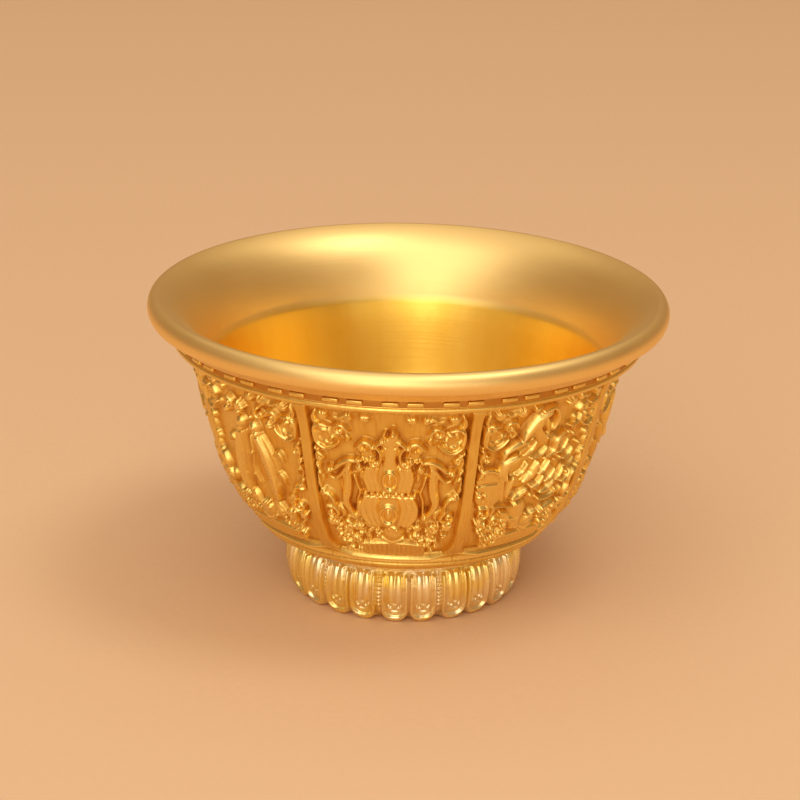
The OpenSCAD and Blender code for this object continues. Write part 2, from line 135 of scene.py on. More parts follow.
def ramp(value, low, high):
    """0 at low, 1 at high, straight between and held outside."""
    return np.clip((value - low) / (high - low), 0, 1)


def round_point(x, z, r, a):
    """The point, or points, at the distance r from (x, z) and the angle a in radians."""
    return np.stack([x + r * np.cos(a), z + r * np.sin(a)], -1)


def arc(centre, radius, start, end, n):
    """Points of an arc, from one angle in degrees to another."""
    return round_point(*centre, radius, np.radians(np.linspace(start, end, n)))


# Shader maths: a wrapped socket with the operators that are used

class Wire:
    def __init__(self, tree, socket):
        self.tree, self.socket = tree, socket

    def math(self, operation, *values):
        node = self.tree.nodes.new("ShaderNodeMath")
        node.operation = operation
        for slot, value in zip(node.inputs, values):
            plug(self.tree, slot, value)
        return Wire(self.tree, node.outputs[0])

    def __add__(self, other):
        return self.math("ADD", self, other)

    def __sub__(self, other):
        return self.math("SUBTRACT", self, other)

    def __rsub__(self, other):
        return self.math("SUBTRACT", other, self)

    def __rtruediv__(self, other):
        return self.math("DIVIDE", other, self)

    def __mul__(self, other):
        return self.math("MULTIPLY", self, other)

    __radd__ = __add__
    __rmul__ = __mul__

    def clipped(self, low, high):
        return self.math("MAXIMUM", self.math("MINIMUM", self, high), low)

    def ramp(self, low, high):
        return ((self - low) * (1 / (high - low))).clipped(0.0, 1.0)


def plug(tree, slot, value):
    if isinstance(value, Wire):
        tree.links.new(value.socket, slot)
    else:
        slot.default_value = value


class Finish:
    """A material's node tree, with one method for any node."""

    def __init__(self, name):
        self.material = bpy.data.materials.new(name)
        self.material.use_nodes = True
        self.tree = self.material.node_tree
        self.shader = self.tree.nodes["Principled BSDF"]

    def node(self, kind, settings=None, output=0, **sockets):
        node = self.tree.nodes.new("ShaderNode" + kind)
        for name, value in (settings or {}).items():
            setattr(node, name, value)
        for name, value in sockets.items():
            plug(self.tree, node.inputs[name.replace("_", " ")], value)
        return Wire(self.tree, node.outputs[output])

    def blend(self, factor, first, second):
        node = self.tree.nodes.new("ShaderNodeMix")
        node.data_type = "RGBA"
        plug(self.tree, node.inputs[0], factor)
        for slot, value in ((node.inputs[6], first), (node.inputs[7], second)):
            plug(self.tree, slot, value if isinstance(value, Wire) else (*value, 1.0))
        return Wire(self.tree, node.outputs[2])

    def place(self):
        return self.node("TexCoord", output="Object")

    def split(self, vector):
        node = self.tree.nodes.new("ShaderNodeSeparateXYZ")
        plug(self.tree, node.inputs[0], vector)
        return [Wire(self.tree, out) for out in node.outputs]

    def join(self, x, y, z):
        return self.node("CombineXYZ", X=x, Y=y, Z=z)

    def noise(self, vector, scale, detail):
        return self.node("TexNoise", Vector=vector, Scale=scale, Detail=detail)

    def done(self, **sockets):
        for name, value in sockets.items():
            plug(self.tree, self.shader.inputs[name.replace("_", " ")], value)
        return self.material

    def metal(self, base, rough, height, depth):
        """A metal with a fine relief of a depth in millimetres."""
        bump = self.node("Bump", Height=height, Strength=0.22, Distance=depth * MM)
        return self.done(Base_Color=base, Metallic=1.0, Roughness=rough, Normal=bump)


def round_places(finish):
    """Place in millimetres, direction from the axis, way along the wall, and height."""
    place = finish.node("VectorMath", {"operation": "SCALE"}, Vector=finish.place(), Scale=1 / MM)
    x, y, z = finish.split(place)
    reach = x.math("SQRT", x * x + y * y)
    part = 1 / (reach + 0.001)
    return place, x * part, y * part, reach + z, z


def chased_gold():
    """Polished relief: a highlight painted where raised and shade painted in the recesses, with fine upright
    strokes.
    """
    f = Finish("chased_gold")
    raised = f.node("Attribute", {"attribute_name": "raised"}, output="Fac")
    hollow = f.node("Attribute", {"attribute_name": "hollow"}, output="Fac")
    place, side, front, along, z = round_places(f)
    clouds = f.noise(place, 0.16, 4.0)
    patches = f.noise(place, 0.9, 3.0)
    strokes = f.noise(f.join(side * 70.0, front * 70.0, along * 0.22), 1.0, 2.0)
    grain = f.noise(place, 9.0, 2.0)
    foot = z.ramp(FOOT_H + 1.0, FOOT_H - 0.2)
    worn = raised.ramp(0.3, 1.2)
    ground = (1 - worn) * (1 - foot)
    base = f.blend(clouds.ramp(0.35, 0.65), *RELIEF_GOLD)
    # The higher relief gets a lighter, yellower gold: painted highlight
    base = f.blend(raised.ramp(0.6, 1.4), base, RAISED_HIGHLIGHT_GOLD)
    # The foot gets the paler gold: painted reflection of the table and painted light
    base = f.blend(foot, base, f.blend(clouds.ramp(0.44, 0.54), *FOOT_SHEEN_GOLD))
    base = f.blend(strokes.ramp(0.50, 0.66) * ground * 0.5, base, STROKE_GOLD)
    base = f.blend(patches.ramp(0.55, 0.75) * (0.3 - 0.2 * foot), base, PATCH_GOLD)
    # Recesses darkened towards brown: painted shade, weaker on the foot
    base = f.blend(hollow.ramp(0.06, 0.6) * (0.8 - 0.4 * foot), base, HOLLOW_SHADE_BROWN)
    rough = 0.40 - 0.15 * worn + 0.08 * patches.ramp(0.4, 0.7) + 0.12 * hollow.ramp(0.1, 0.6)
    relief = strokes * ground * 2.6 + grain * 0.08 + patches * 0.3
    return f.metal(base, rough.clipped(0.15, 0.6), relief, 0.12)


def turned_gold():
    """Pale satin gold with rings from the lathe and light scratches along them, and darker upright streaks
    that are painted reflection banding.
    """
    f = Finish("turned_gold")
    place, side, front, along, z = round_places(f)
    clouds = f.noise(place, 0.09, 4.0)
    rings = f.noise(f.join(side * 0.7, front * 0.7, along * 2.2), 1.0, 3.0)
    fine = f.noise(f.join(side * 2.0, front * 2.0, along * 9.0), 1.0, 2.0)
    reflection_streaks = f.noise(f.join(side * 8.0, front * 8.0, along * 0.02), 1.0, 3.0)
    base = f.blend(clouds.ramp(0.35, 0.65), *CUP_GOLD)
    # Darker upright streaks round the cup: painted reflection banding of the turned grain
    base = f.blend(reflection_streaks.ramp(0.4, 0.7) * 0.5, base, STREAK_REFLECTION_GOLD)
    flare = (z + clouds * 0.5).ramp(CREASE_Z, CREASE_Z + 1.4)
    base = f.blend(flare * 0.9, base, FLARE_GOLD)
    rough = 0.27 + 0.10 * clouds + 0.08 * rings + 0.08 * flare
    return f.metal(base, rough.clipped(0.2, 0.6), rings * 0.7 + fine * 0.5, 0.06)


def pale_table():
    f = Finish("pale_table")
    fibre = f.noise(f.place(), 900.0, 4.0)
    return f.done(Base_Color=f.blend(fibre, *TABLE), Roughness=0.8)


MATERIALS = {"chased_gold": chased_gold(), "turned_gold": turned_gold()}  # by slot


# Meshes

def mesh_of(name, bm):
    mesh = bpy.data.meshes.new(name)
    bm.to_mesh(mesh)
    bm.free()
    return mesh


def put(name, data):
    """Adds an object to the scene."""
    thing = bpy.data.objects.new(name, data)
    bpy.context.collection.objects.link(thing)
    return thing


def finished(name, bm, node=None, slot="chased_gold"):
    """Makes a piece of a bmesh in millimetres."""
    bmesh.ops.recalc_face_normals(bm, faces=bm.faces)
    bmesh.ops.scale(bm, vec=(MM, MM, MM), verts=bm.verts)
    return adopted(name, mesh_of(name, bm), node, slot)


def adopted(name, mesh, node, slot="chased_gold"):
    """Makes a piece of a mesh, which replaces a solid where one is named."""
    mesh.materials.append(MATERIALS[slot])
    mesh.shade_smooth()
    for attribute in ("raised", "hollow"):
        if attribute not in mesh.attributes:
            mesh.attributes.new(attribute, "FLOAT", "POINT")
    piece = put(name, mesh)
    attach(piece, "root")
    if node:
        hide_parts(node)
    return piece


def toned(mesh, raised, hollow_of=None):
    """Gives a mesh a raised value, which paints a highlight where it is high enough, and painted shade where
    hollow_of(r, z) says.
    """
    co = np.array([v.co for v in mesh.vertices]) / MM
    mesh.attributes["raised"].data.foreach_set("value", np.full(len(co), raised, np.float32))
    if hollow_of:
        dark = hollow_of(np.hypot(co[:, 0], co[:, 1]), co[:, 2])
        mesh.attributes["hollow"].data.foreach_set("value", dark.astype(np.float32))


def spun(outline, steps, closed=True):
    """A full turn of an outline of (r, z) points about the axis."""
    bm = bmesh.new()
    verts = [bm.verts.new((r, 0.0, z)) for r, z in outline]
    edges = [bm.edges.new(pair) for pair in zip(verts, verts[1:])]
    if closed:
        edges.append(bm.edges.new((verts[-1], verts[0])))
    bmesh.ops.spin(bm, geom=verts + edges, axis=(0, 0, 1), cent=(0, 0, 0),
                   angle=math.tau, steps=steps, use_merge=True, use_duplicate=False)
    bmesh.ops.remove_doubles(bm, verts=bm.verts, dist=1e-5)
    return bm


def turned_to(az, rz):
    """Points in millimetres at the turn az, in radians from the front, of (r, z) points."""
    return np.stack([rz[..., 0] * np.sin(az), -rz[..., 0] * np.cos(az), rz[..., 1]], -1)


def close_back(bm, grid, back, cell):
    """Closes a grid's back with wider cells, which keep every vert of its border."""
    verts = list(bm.verts)
    nz, nx = grid.shape[0] - 1, grid.shape[1] - 1
    inner = {}

    def at(i, j):
        if i in (0, nx) or j in (0, nz):
            return verts[grid[j, i]]
        if (i, j) not in inner:
            inner[i, j] = bm.verts.new(back[j, i] * MM)
        return inner[i, j]

    for low in range(0, nz, cell[1]):
        for left in range(0, nx, cell[0]):
            right, high = left + cell[0], low + cell[1]
            loop = [(i, low) for i in (range(left, right) if low == 0 else [left])]
            loop += [(right, j) for j in (range(low, high) if right == nx else [low])]
            loop += [(i, high) for i in (range(right, left, -1) if high == nz else [right])]
            loop += [(left, j) for j in (range(high, low, -1) if left == 0 else [high])]
            bm.faces.new([at(i, j) for i, j in reversed(loop)])


def wrapped(name, place, raised, hollow, node, back=None, cell=None):
    """A grid of points in millimetres, closed by wider cells over its back if given."""
    grid = np.arange(raised.size).reshape(raised.shape)
    quads = np.stack([grid[:-1, :-1], grid[:-1, 1:], grid[1:, 1:], grid[1:, :-1]], -1)
    mesh = bpy.data.meshes.new(name)
    mesh.from_pydata((place * MM).reshape(-1, 3).tolist(), [], quads.reshape(-1, 4).tolist())
    for attribute, values in (("raised", raised), ("hollow", hollow)):
        layer = mesh.attributes.new(attribute, "FLOAT", "POINT")
        layer.data.foreach_set("value", values.astype(np.float32).ravel())
    bm = bmesh.new()
    bm.from_mesh(mesh)
    if back is not None:
        close_back(bm, grid, back, cell)
    bmesh.ops.remove_doubles(bm, verts=bm.verts, dist=1e-6)
    bm.to_mesh(mesh)
    bm.free()
    return adopted(name, mesh, node)


# Relief: heights over a ground, painted with strands, domes, curls and leaves

LINE_STEPS = 10  # of a smooth line, between two of its points
UNROLL_R = 33.0  # radius at which a plaque's x is measured


def smooth_line(points):
    """A smooth line through points, pairs or x, z, x, z, as Catmull and Rom's spline."""
    p = np.pad(np.reshape(points, (-1, 2)), ((1, 1), (0, 0)), mode="edge")
    t = np.linspace(0, 1, LINE_STEPS, endpoint=False)[:, None]
    runs = [0.5 * (2 * b + (c - a) * t + (2 * a - 5 * b + 4 * c - d) * t ** 2
                   + (3 * b - a - 3 * c + d) * t ** 3)
            for a, b, c, d in zip(p, p[1:], p[2:], p[3:])]
    return np.vstack(runs + [p[-1:]])


class Relief:
    """Heights h over a field, at the places xs across and zs up, all in millimetres."""

    def __init__(self, x0, x1, z0, z1, cell):
        self.nx, self.nz = round((x1 - x0) / cell), round((z1 - z0) / cell)
        self.xs, self.zs = np.linspace(x0, x1, self.nx + 1), np.linspace(z0, z1, self.nz + 1)
        self.h = np.zeros((self.nz + 1, self.nx + 1))

    def window(self, x0, x1, z0, z1):
        """The part of the field between two corners, and its places."""
        i = slice(*np.searchsorted(self.xs, (x0, x1)))
        j = slice(*np.searchsorted(self.zs, (z0, z1)))
        return (j, i), self.xs[None, i], self.zs[j, None]

    def raise_to(self, part, heights):
        self.h[part] = np.maximum(self.h[part], heights)

    def dome(self, x, z, a, b, top, turn=0.0, power=0.6, foot=0.0, lean=0.0):
        """An oval boss with half axes a and b, higher towards its upper edge where it leans."""
        reach = max(a, b)
        part, px, pz = self.window(x - reach, x + reach, z - reach, z + reach)
        c, s = math.cos(math.radians(turn)), math.sin(math.radians(turn))
        u, v = (px - x) * c + (pz - z) * s, (pz - z) * c - (px - x) * s
        t = 1 - (u / a) ** 2 - (v / b) ** 2
        slant = (1 + lean * np.clip(v / b, -1, 1)) / (1 + lean * 0.6)
        height = foot + (top - foot) * slant * np.clip(t, 0, 1) ** power
        self.raise_to(part, np.where(t > 0, height, 0))

    def strand(self, points, widths, top, power=0.55, end_top=None, foot=0.0, sunk=False):
        """A rounded ridge along a smooth line, its edges at foot, or a groove of depth top."""
        line = smooth_line(points)
        w = np.interp(np.linspace(0, 1, len(line)), np.linspace(0, 1, len(widths)), widths)
        tops = np.linspace(top, top if end_top is None else end_top, len(line))
        reach = max(widths)
        part, px, pz = self.window(line[:, 0].min() - reach, line[:, 0].max() + reach,
                                   line[:, 1].min() - reach, line[:, 1].max() + reach)
        best = np.zeros(np.broadcast(px, pz).shape)
        for (ax, az), (bx, bz), w0, w1, h0, h1 in zip(line, line[1:], w, w[1:], tops, tops[1:]):
            dx, dz = bx - ax, bz - az
            length = dx * dx + dz * dz
            if length < 1e-9:
                continue
            k = np.clip(((px - ax) * dx + (pz - az) * dz) / length, 0, 1)
            d = np.hypot(px - ax - k * dx, pz - az - k * dz)
            t = 1 - (d / np.maximum(w0 + (w1 - w0) * k, 1e-3)) ** 2
            height = foot + (h0 + (h1 - h0) * k - foot) * np.clip(t, 0, 1) ** power
            best = np.maximum(best, np.where(t > 0, height, 0))
        if sunk:
            self.h[part] -= np.minimum(best, self.h[part])
        else:
            self.raise_to(part, best)

    def curl(self, x, z, radius, start, turns, hand, width, top, eye=True):
        """A scroll that winds inwards from an angle in degrees, with a pearl in its eye."""
        t = np.linspace(0, 1, max(8, int(14 * turns)))
        a = np.radians(start) + hand * t * turns * math.tau
        r = radius * (1 - 0.78 * t)
        self.strand(round_point(x, z, r, a)[::2], [width, width * 0.6], top, end_top=top * 0.9)
        if eye:
            self.pearl(x, z, width * 0.95, top * 1.08)

    def pearl(self, x, z, r, top):
        self.dome(x, z, r, r, top, power=0.5)

    def leaf(self, points, width, top, vein=True):
        """A pointed leaf along a line, with a sunk vein."""
        self.strand(points, [width * 0.25, width, width * 0.85, width * 0.12], top, power=0.7)
        if vein:
            self.strand(points, [0.12, 0.16, 0.05], top * 0.45, sunk=True)

    def sprig(self, x, z, size, turn, top, leaves=5):
        """A small palmette: leaves fanned about a direction, round a pearl."""
        for k in range(leaves):
            a = math.radians(turn + (k - (leaves - 1) / 2) * 150 / leaves)
            length = size * (1.0 - 0.10 * abs(k - (leaves - 1) / 2))
            mid, tip = round_point(x, z, length * 0.55, a + 0.12), round_point(x, z, length, a)
            self.leaf([(x, z), mid, tip], size * 0.20, top, vein=False)
        self.pearl(x, z, size * 0.2, top * 1.05)

    def fill(self, reach, share):
        """Raises valleys towards the mean of their surroundings."""
        self.h += share * np.maximum(self.hollows(reach), 0)

    def soften(self, share):
        """Rounds every form, by a mean with each point's neighbours."""
        for axis in (0, 1):
            near = (np.roll(self.h, 1, axis) + np.roll(self.h, -1, axis)) / 2
            self.h = self.h * (1 - share) + near * share

    def hollows(self, reach):
        """How far each point lies below the mean of its surroundings, in millimetres."""
        cells = max(1, round(reach / (self.xs[1] - self.xs[0])))
        mean, run = self.h, 2 * cells + 1
        for _ in range(4):  # up and across, twice
            total = np.cumsum(np.pad(mean, ((cells + 1, cells), (0, 0)), mode="edge"), axis=0)
            mean = ((total[run:] - total[:-run]) / run).T
        return mean - self.h


def moved(side, dx=0.0, dz=0.0):
    """What mirrors points x, z, x, z where side is -1, then moves them by dx and dz."""
    return lambda *points: np.reshape(points, (-1, 2)) * (side, 1) + (dx, dz)


# The signs: drawings with x from a plaque's middle and z from the table

def paint_vase(r):
    # Two gadrooned bellies, each with an oval jewel, and a beaded girdle between them
    r.dome(0, 24.2, 5.0, 3.6, 1.25, power=0.25)
    r.dome(0.1, 30.0, 4.1, 3.1, 1.15, power=0.25)
    for side in (1, -1):
        at = moved(side)
        for x, w in ((2.1, 0.52), (3.1, 0.55), (4.15, 0.55)):
            r.strand(at(x * 0.9, 26.8, x + 0.25, 24.9, x, 23.2, x * 0.78, 21.7),
                     [0.45, w, w, 0.35], 1.65, foot=1.15)
        for x, w in ((1.85, 0.44), (2.7, 0.46), (3.45, 0.4)):
            r.strand(at(x * 0.96, 32.2, x + 0.2, 30.4, x * 0.92, 28.2), [0.35, w, 0.4], 1.5, foot=1.05)
        r.dome(side * 5.7, 29.0, 2.5, 4.4, 0.5, power=0.3)
    for x, z, a, b in ((-0.05, 23.8, 1.55, 1.9), (0.25, 30.2, 1.2, 1.85)):
        r.dome(x, z, a, b, 1.5, power=0.3, foot=0.8)
        ring = arc((0, 0), 1, 0, 360, 17) * (a * 0.86, b * 0.88) + (x, z)
        r.strand(ring, [0.28], 2.0, foot=1.0)
        r.dome(x, z + 0.1, a * 0.46, b * 0.58, 2.15, foot=1.0)
        r.pearl(x, z + 0.7, 0.34, 2.4)
    r.strand([-4.1, 27.1, 4.4, 27.1], [0.2], 1.55, foot=1.0)
    for k in range(9):
        r.pearl(-3.7 + 0.98 * k, 27.6, 0.44, 1.9 - 0.25 * (k % 2))
    for x, size in ((-2.55, 0.66), (2.6, 0.66), (0.0, 0.5)):
        r.pearl(x, 21.85, size, 1.75)
    for side in (1, -1):
        r.curl(side * 3.6, 21.6, 0.75, 90, 1.0, side, 0.28, 1.6)
    # The crown: a smooth leaf with a knob, lobes, scrolls at its sides and volutes under them
    r.strand([0.15, 31.9, 0.25, 34.0, 0.35, 36.0, 0.6, 37.9], [1.3, 1.0, 1.35, 0.4], 1.35,
             power=0.4, foot=0.5)
    r.pearl(0.66, 38.3, 0.5, 1.95)
    r.leaf([0.6, 38.4, 0.7, 38.9, 0.75, 39.4], 0.35, 1.7, vein=False)
    for side in (1, -1):
        lean = 0.3 + 0.1 * side
        line = moved(side, lean)
        r.leaf(line(0.5, 36.0, 1.3, 36.9, 0.9, 37.9), 0.42, 1.7)
        r.leaf(line(0.3, 37.0, 0.9, 38.1, 0.5, 38.7), 0.3, 1.6, vein=False)
        r.strand(line(2.2, 36.0, 1.5, 35.2, 1.35, 34.0, 1.75, 32.6), [0.25, 0.36, 0.36, 0.25], 1.6)
        r.curl(side * 2.3 + lean, 33.2, 0.85, 90 - side * 50, 0.9, -side, 0.4, 1.6)
        r.strand(line(0.9, 37.0, 1.8, 36.4, 2.6, 35.7, 3.1, 36.4, 4.0, 36.6, 4.6, 35.9, 4.3, 35.1),
                 [0.25, 0.45, 0.42, 0.55, 0.55, 0.5, 0.35], 1.5)
        r.dome(side * 3.3 + lean, 34.6, 1.3, 1.9, 0.7, power=0.3)
        r.pearl(*line(3.7, 35.5)[0], 0.46, 1.8)
        r.strand(line(2.9, 35.5, 2.7, 34.7, 2.2, 34.3), [0.25, 0.3, 0.2], 1.5)
        r.leaf(line(4.6, 36.0, 5.2, 35.6, 5.5, 34.9), 0.34, 1.5, vein=False)
        # A bunch beside the upper belly
        r.sprig(side * 4.3 + 0.2, 32.0, 1.35, 90 - side * 90, 1.65, 6)
        r.leaf(moved(side, 0.2)(4.4, 31.6, 4.5, 30.6, 4.2, 29.6), 0.4, 1.6)
        for k in range(3):
            r.pearl(side * (3.6 + 0.7 * k) + 0.1, 33.35 + 0.12 * k, 0.36, 1.65)
    # Scarves: a strand to a knob, a short hook and a broad hanging fold
    for side, dx, dz in ((-1, 0.0, 0.0), (1, 0.5, 0.1)):
        at = moved(side, dx, dz)
        r.strand(at(4.6, 33.2, 6.2, 33.1, 7.5, 32.4, 8.4, 31.5, 9.3, 31.2), [0.4, 0.6, 0.62, 0.5, 0.35], 1.45)
        r.pearl(*at(9.4, 31.2)[0], 0.68, 1.95)
        r.strand(at(6.9, 31.7, 7.6, 30.4, 8.5, 29.6, 9.5, 29.9), [0.3, 0.42, 0.4, 0.2], 1.4)
        r.strand(at(6.0, 32.6, 6.6, 31.2, 6.6, 29.0, 6.9, 27.2, 7.2, 25.4, 6.3, 23.4),
                 [0.4, 0.8, 0.85, 0.75, 0.7, 0.25], 1.5, power=0.45)
        r.strand(at(6.1, 32.0, 5.95, 29.4, 6.2, 27.4, 6.6, 25.6, 5.9, 23.4), [0.26], 1.85)
        r.strand(at(6.9, 31.0, 6.95, 29.0, 7.3, 27.0), [0.14], 0.4, sunk=True)
        r.strand(at(5.3, 30.7, 4.9, 29.0, 4.55, 27.8, 5.0, 26.2, 5.1, 23.4), [0.34], 1.6)
        r.sprig(side * 5.6 + dx, 22.9, 1.1, 90 + side * 50, 1.75, 4)


# Lobes of the conch: half width, height, and the points of a line
CONCH_LOBES = (
    (1.1, 2.15, -0.9, 40.4, -2.4, 39.2, -4.0, 37.2, -4.9, 35.9),
    (0.95, 2.05, -3.7, 35.6, -5.5, 35.3, -7.4, 34.3, -8.0, 33.0),
    (1.25, 2.05, -5.4, 33.2, -6.9, 32.0, -7.3, 30.4, -6.6, 28.9),
    (0.8, 1.85, -5.4, 29.3, -5.8, 27.6, -6.2, 25.6), (0.65, 1.85, -2.3, 35.3, -2.9, 33.9, -4.6, 33.1),
    (0.65, 2.0, 3.7, 35.6, 2.3, 34.4, 1.9, 32.6, -0.2, 31.7),
    (0.55, 1.75, 0.4, 33.6, -0.8, 32.4, -2.6, 32.1), (0.6, 1.75, -3.2, 31.5, -3.8, 30.0, -5.0, 29.6),
    (1.0, 1.8, -0.9, 31.1, -1.6, 29.1, -3.5, 28.1), (0.55, 1.85, 1.5, 31.0, 0.7, 29.4, -0.5, 28.9),
    (0.6, 1.8, 0.9, 28.3, 0.3, 26.9, -1.3, 26.6), (0.5, 1.8, 3.4, 29.0, 2.7, 27.5, 1.5, 27.0),
    (0.8, 1.85, 3.9, 26.6, 2.7, 25.3, 1.0, 25.2), (0.85, 1.6, -2.0, 26.4, -3.2, 25.3, -4.7, 25.0),
    (0.4, 1.6, 5.3, 33.9, 4.5, 32.2, 3.1, 31.6), (0.5, 1.65, 7.1, 31.8, 6.3, 30.5, 4.9, 30.2),
    (0.4, 1.55, 8.5, 29.5, 7.5, 28.5, 6.3, 28.4), (0.4, 1.5, 6.2, 28.2, 5.6, 26.8, 4.6, 26.2),
    (0.45, 1.5, 7.7, 37.5, 6.9, 36.2, 5.3, 35.8), (0.45, 1.5, 9.1, 26.9, 8.4, 25.6, 7.0, 25.2),
    (0.7, 1.7, 1.6, 21.6, 0.6, 20.7, -0.2, 20.0), (0.65, 1.65, 6.2, 22.0, 4.9, 21.4, 3.7, 20.6))


def paint_conch(r):
    # The shell's whorl: a horn with a hooked mouth, and bright lobes that step down to the left
    r.dome(-2.4, 31.4, 4.8, 5.0, 0.7, power=0.25)
    r.dome(-0.7, 36.4, 1.7, 3.2, 1.2, turn=20, power=0.35)
    r.strand([-2.2, 40.5, -0.6, 40.9, 0.9, 39.7, 1.4, 38.2, 0.9, 36.6], [0.35, 0.45, 0.5, 0.45, 0.25], 1.8)
    r.strand([-0.5, 38.4, -0.8, 37.2, -0.1, 36.1], [0.25, 0.5, 0.2], 0.9, sunk=True)
    for w, top, *points in CONCH_LOBES:
        r.strand(points, [w * 0.45, w, w * 0.9, w * 0.3], top, power=0.65)
        r.strand(moved(1, w * 0.9, -w * 0.7)(*points), [0.1, 0.2, 0.1], 0.35, sunk=True)
    for x, z, size in ((4.3, 30.6, 0.45), (6.3, 34.4, 0.5), (2.9, 30.6, 0.4), (8.8, 32.0, 0.5),
                       (5.6, 24.3, 0.55), (-0.7, 24.9, 0.6), (7.7, 26.9, 0.45), (0.2, 35.2, 0.5),
                       (4.9, 35.0, 0.45)):
        r.pearl(x, z, size, 1.6)
    # The fold at the lower left, over a smooth broad leaf
    r.dome(-9.1, 27.4, 2.9, 3.6, 1.3, power=0.15)
    r.strand([-11.6, 29.8, -10.6, 31.0, -9.0, 30.9, -7.9, 30.0, -7.1, 28.2, -6.7, 24.9],
             [0.25, 0.42, 0.45, 0.42, 0.35, 0.2], 1.6, foot=0.9)
    r.strand([-11.5, 28.5, -9.6, 28.7, -7.9, 28.6], [0.15, 0.2, 0.1], 0.4, sunk=True)
    r.strand([-11.4, 27.4, -10.5, 27.0, -10.2, 25.6], [0.18, 0.24, 0.15], 0.5, sunk=True)
    r.strand([-10.4, 24.4, -7.6, 23.9, -4.6, 23.5, -2.2, 23.0], [0.15, 0.26, 0.26, 0.15], 1.3)
    r.leaf([-3.2, 23.6, -2.2, 21.4, -2.6, 18.8], 2.2, 1.45, vein=False)
    r.leaf([-6.4, 22.8, -4.4, 21.2, -2.6, 21.2], 1.1, 1.4, vein=False)
    r.strand([1.6, 23.6, 3.6, 23.3, 5.8, 24.0], [0.3, 0.5, 0.25], 1.5)
    r.leaf([-11.1, 35.4, -11.2, 37.4, -10.6, 39.2], 0.75, 1.8)


def paint_fish(r):
    # Two fish side by side, heads up, with smooth bodies and forked tails
    for side, lean in ((1, 1.3), (-1, 0.9)):
        at = moved(side, lean)
        body = at(3.5, 22.6, 3.7, 26.0, 3.0, 30.0, 1.5, 34.4)
        r.strand(body, [0.3, 1.5, 2.05, 1.0], 1.6, end_top=1.75, power=0.75)
        r.strand([(x + side * 0.5, z) for x, z in body], [0.12, 0.4, 0.5, 0.3], 1.95, foot=1.2, power=0.8)
        for dx, w in ((-1.15, 0.16), (1.35, 0.14)):
            r.strand([(x + side * dx * (1 - abs(z - 29) / 12), z) for x, z in body[1:]], [w], 0.4, sunk=True)
        r.dome(side * 1.4 + lean, 35.4, 1.15, 1.3, 1.9, turn=side * 25)
        r.pearl(side * 1.7 + lean, 35.4, 0.3, 2.15)
        r.strand(at(0.6, 34.2, 1.6, 33.8, 2.7, 34.2), [0.15], 0.45, sunk=True)
        for dx, length in ((-0.9, 3.0), (0.3, 3.2), (1.5, 2.8)):
            x = side * 2.9 + lean
            r.leaf([x, 22.6, x + side * dx * 0.7, 21.2, x + side * dx * 1.5, 22.6 - length], 0.6, 1.6)
        r.leaf(at(4.6, 31.0, 5.8, 31.6, 6.6, 30.2), 0.6, 1.5)
        r.leaf(at(4.5, 27.6, 5.6, 27.6, 6.3, 26.0), 0.5, 1.4)
        r.curl(side * 3.4 + lean, 38.2, 1.15, 90, 1.1, side, 0.36, 1.75)
        r.sprig(side * 4.6 + lean, 36.4, 1.2, 90 - side * 60, 1.7, 5)
        r.pearl(side * 1.3 + lean, 37.2, 0.5, 1.8)
    r.strand([0.9, 24.6, 0.3, 27.4, 1.0, 30.2, 0.7, 33.0], [0.2, 0.36, 0.3, 0.12], 1.1)
    r.pearl(0.8, 30.3, 0.5, 1.5)
    r.pearl(0.2, 26.3, 0.42, 1.5)
    r.sprig(0.2, 37.8, 1.7, 90, 1.8, 7)


def paint_parasol(r):
    r.dome(0, 31.6, 7.4, 5.6, 1.5, power=0.45)
    for k in range(-3, 4):
        r.strand([0.25 * k, 37.0, 1.5 * k, 34.4, 2.2 * k, 31.6], [0.2, 0.75, 0.95], 1.9)
    part = r.window(-8.5, 8.5, 24.5, 30.2)[0]
    r.h[part] = 0
    r.strand([-7.4, 30.4, 0, 29.8, 7.4, 30.4], [0.5], 1.8)
    for k in range(-5, 6):
        r.strand([1.4 * k, 29.6, 1.42 * k, 28.4, 1.4 * k, 27.3], [0.62, 0.6, 0.25], 1.5)
        r.pearl(1.4 * k, 26.9, 0.3, 1.3)
    r.strand([0, 27.2, 0, 18.6], [0.45, 0.4], 1.5)
    r.sprig(0, 37.4, 1.8, 90, 1.7, 5)
    for side in (1, -1):
        at = moved(side)
        r.strand(at(6.8, 30.0, 7.6, 27.4, 6.2, 24.6, 7.2, 21.8), [0.4, 0.75, 0.6, 0.3], 1.4)
        r.strand(at(2.2, 27.0, 3.4, 25.0, 2.6, 22.8, 3.6, 21.0), [0.3, 0.5, 0.4, 0.2], 1.2)
    r.sprig(0, 19.6, 1.6, 270, 1.4, 5)


def paint_lotus(r):
    for turn, length, w in ((0, 8.2, 1.7), (28, 7.6, 1.6), (-28, 7.6, 1.6), (56, 6.8, 1.4), (-56, 6.8, 1.4),
                            (82, 5.8, 1.1), (-82, 5.8, 1.1)):
        tip = round_point(0, 27.6, length, math.radians(90 - turn))
        mid = (tip[0] * 0.55, 27.6 + (tip[1] - 27.6) * 0.5 - 0.012 * turn * turn / 30)
        r.leaf([(0, 27.4), mid, tip], w, 1.9 - 0.006 * abs(turn))
    for k in (-1, 0, 1):
        r.dome(1.5 * k, 28.6, 0.95, 1.5, 2.1, turn=-14 * k)
    for k in range(7):
        r.pearl(-2.4 + 0.8 * k, 27.0, 0.34, 1.8)
    r.strand([0, 26.6, 0.4, 23.6, 0, 20.6], [0.5, 0.4, 0.5], 1.3)
    for side in (1, -1):
        at = moved(side)
        r.leaf(at(0.4, 22.0, 3.2, 24.4, 6.4, 23.4), 1.1, 1.4)
        r.leaf(at(0.4, 20.6, 3.0, 20.9, 5.6, 19.6), 0.9, 1.3)


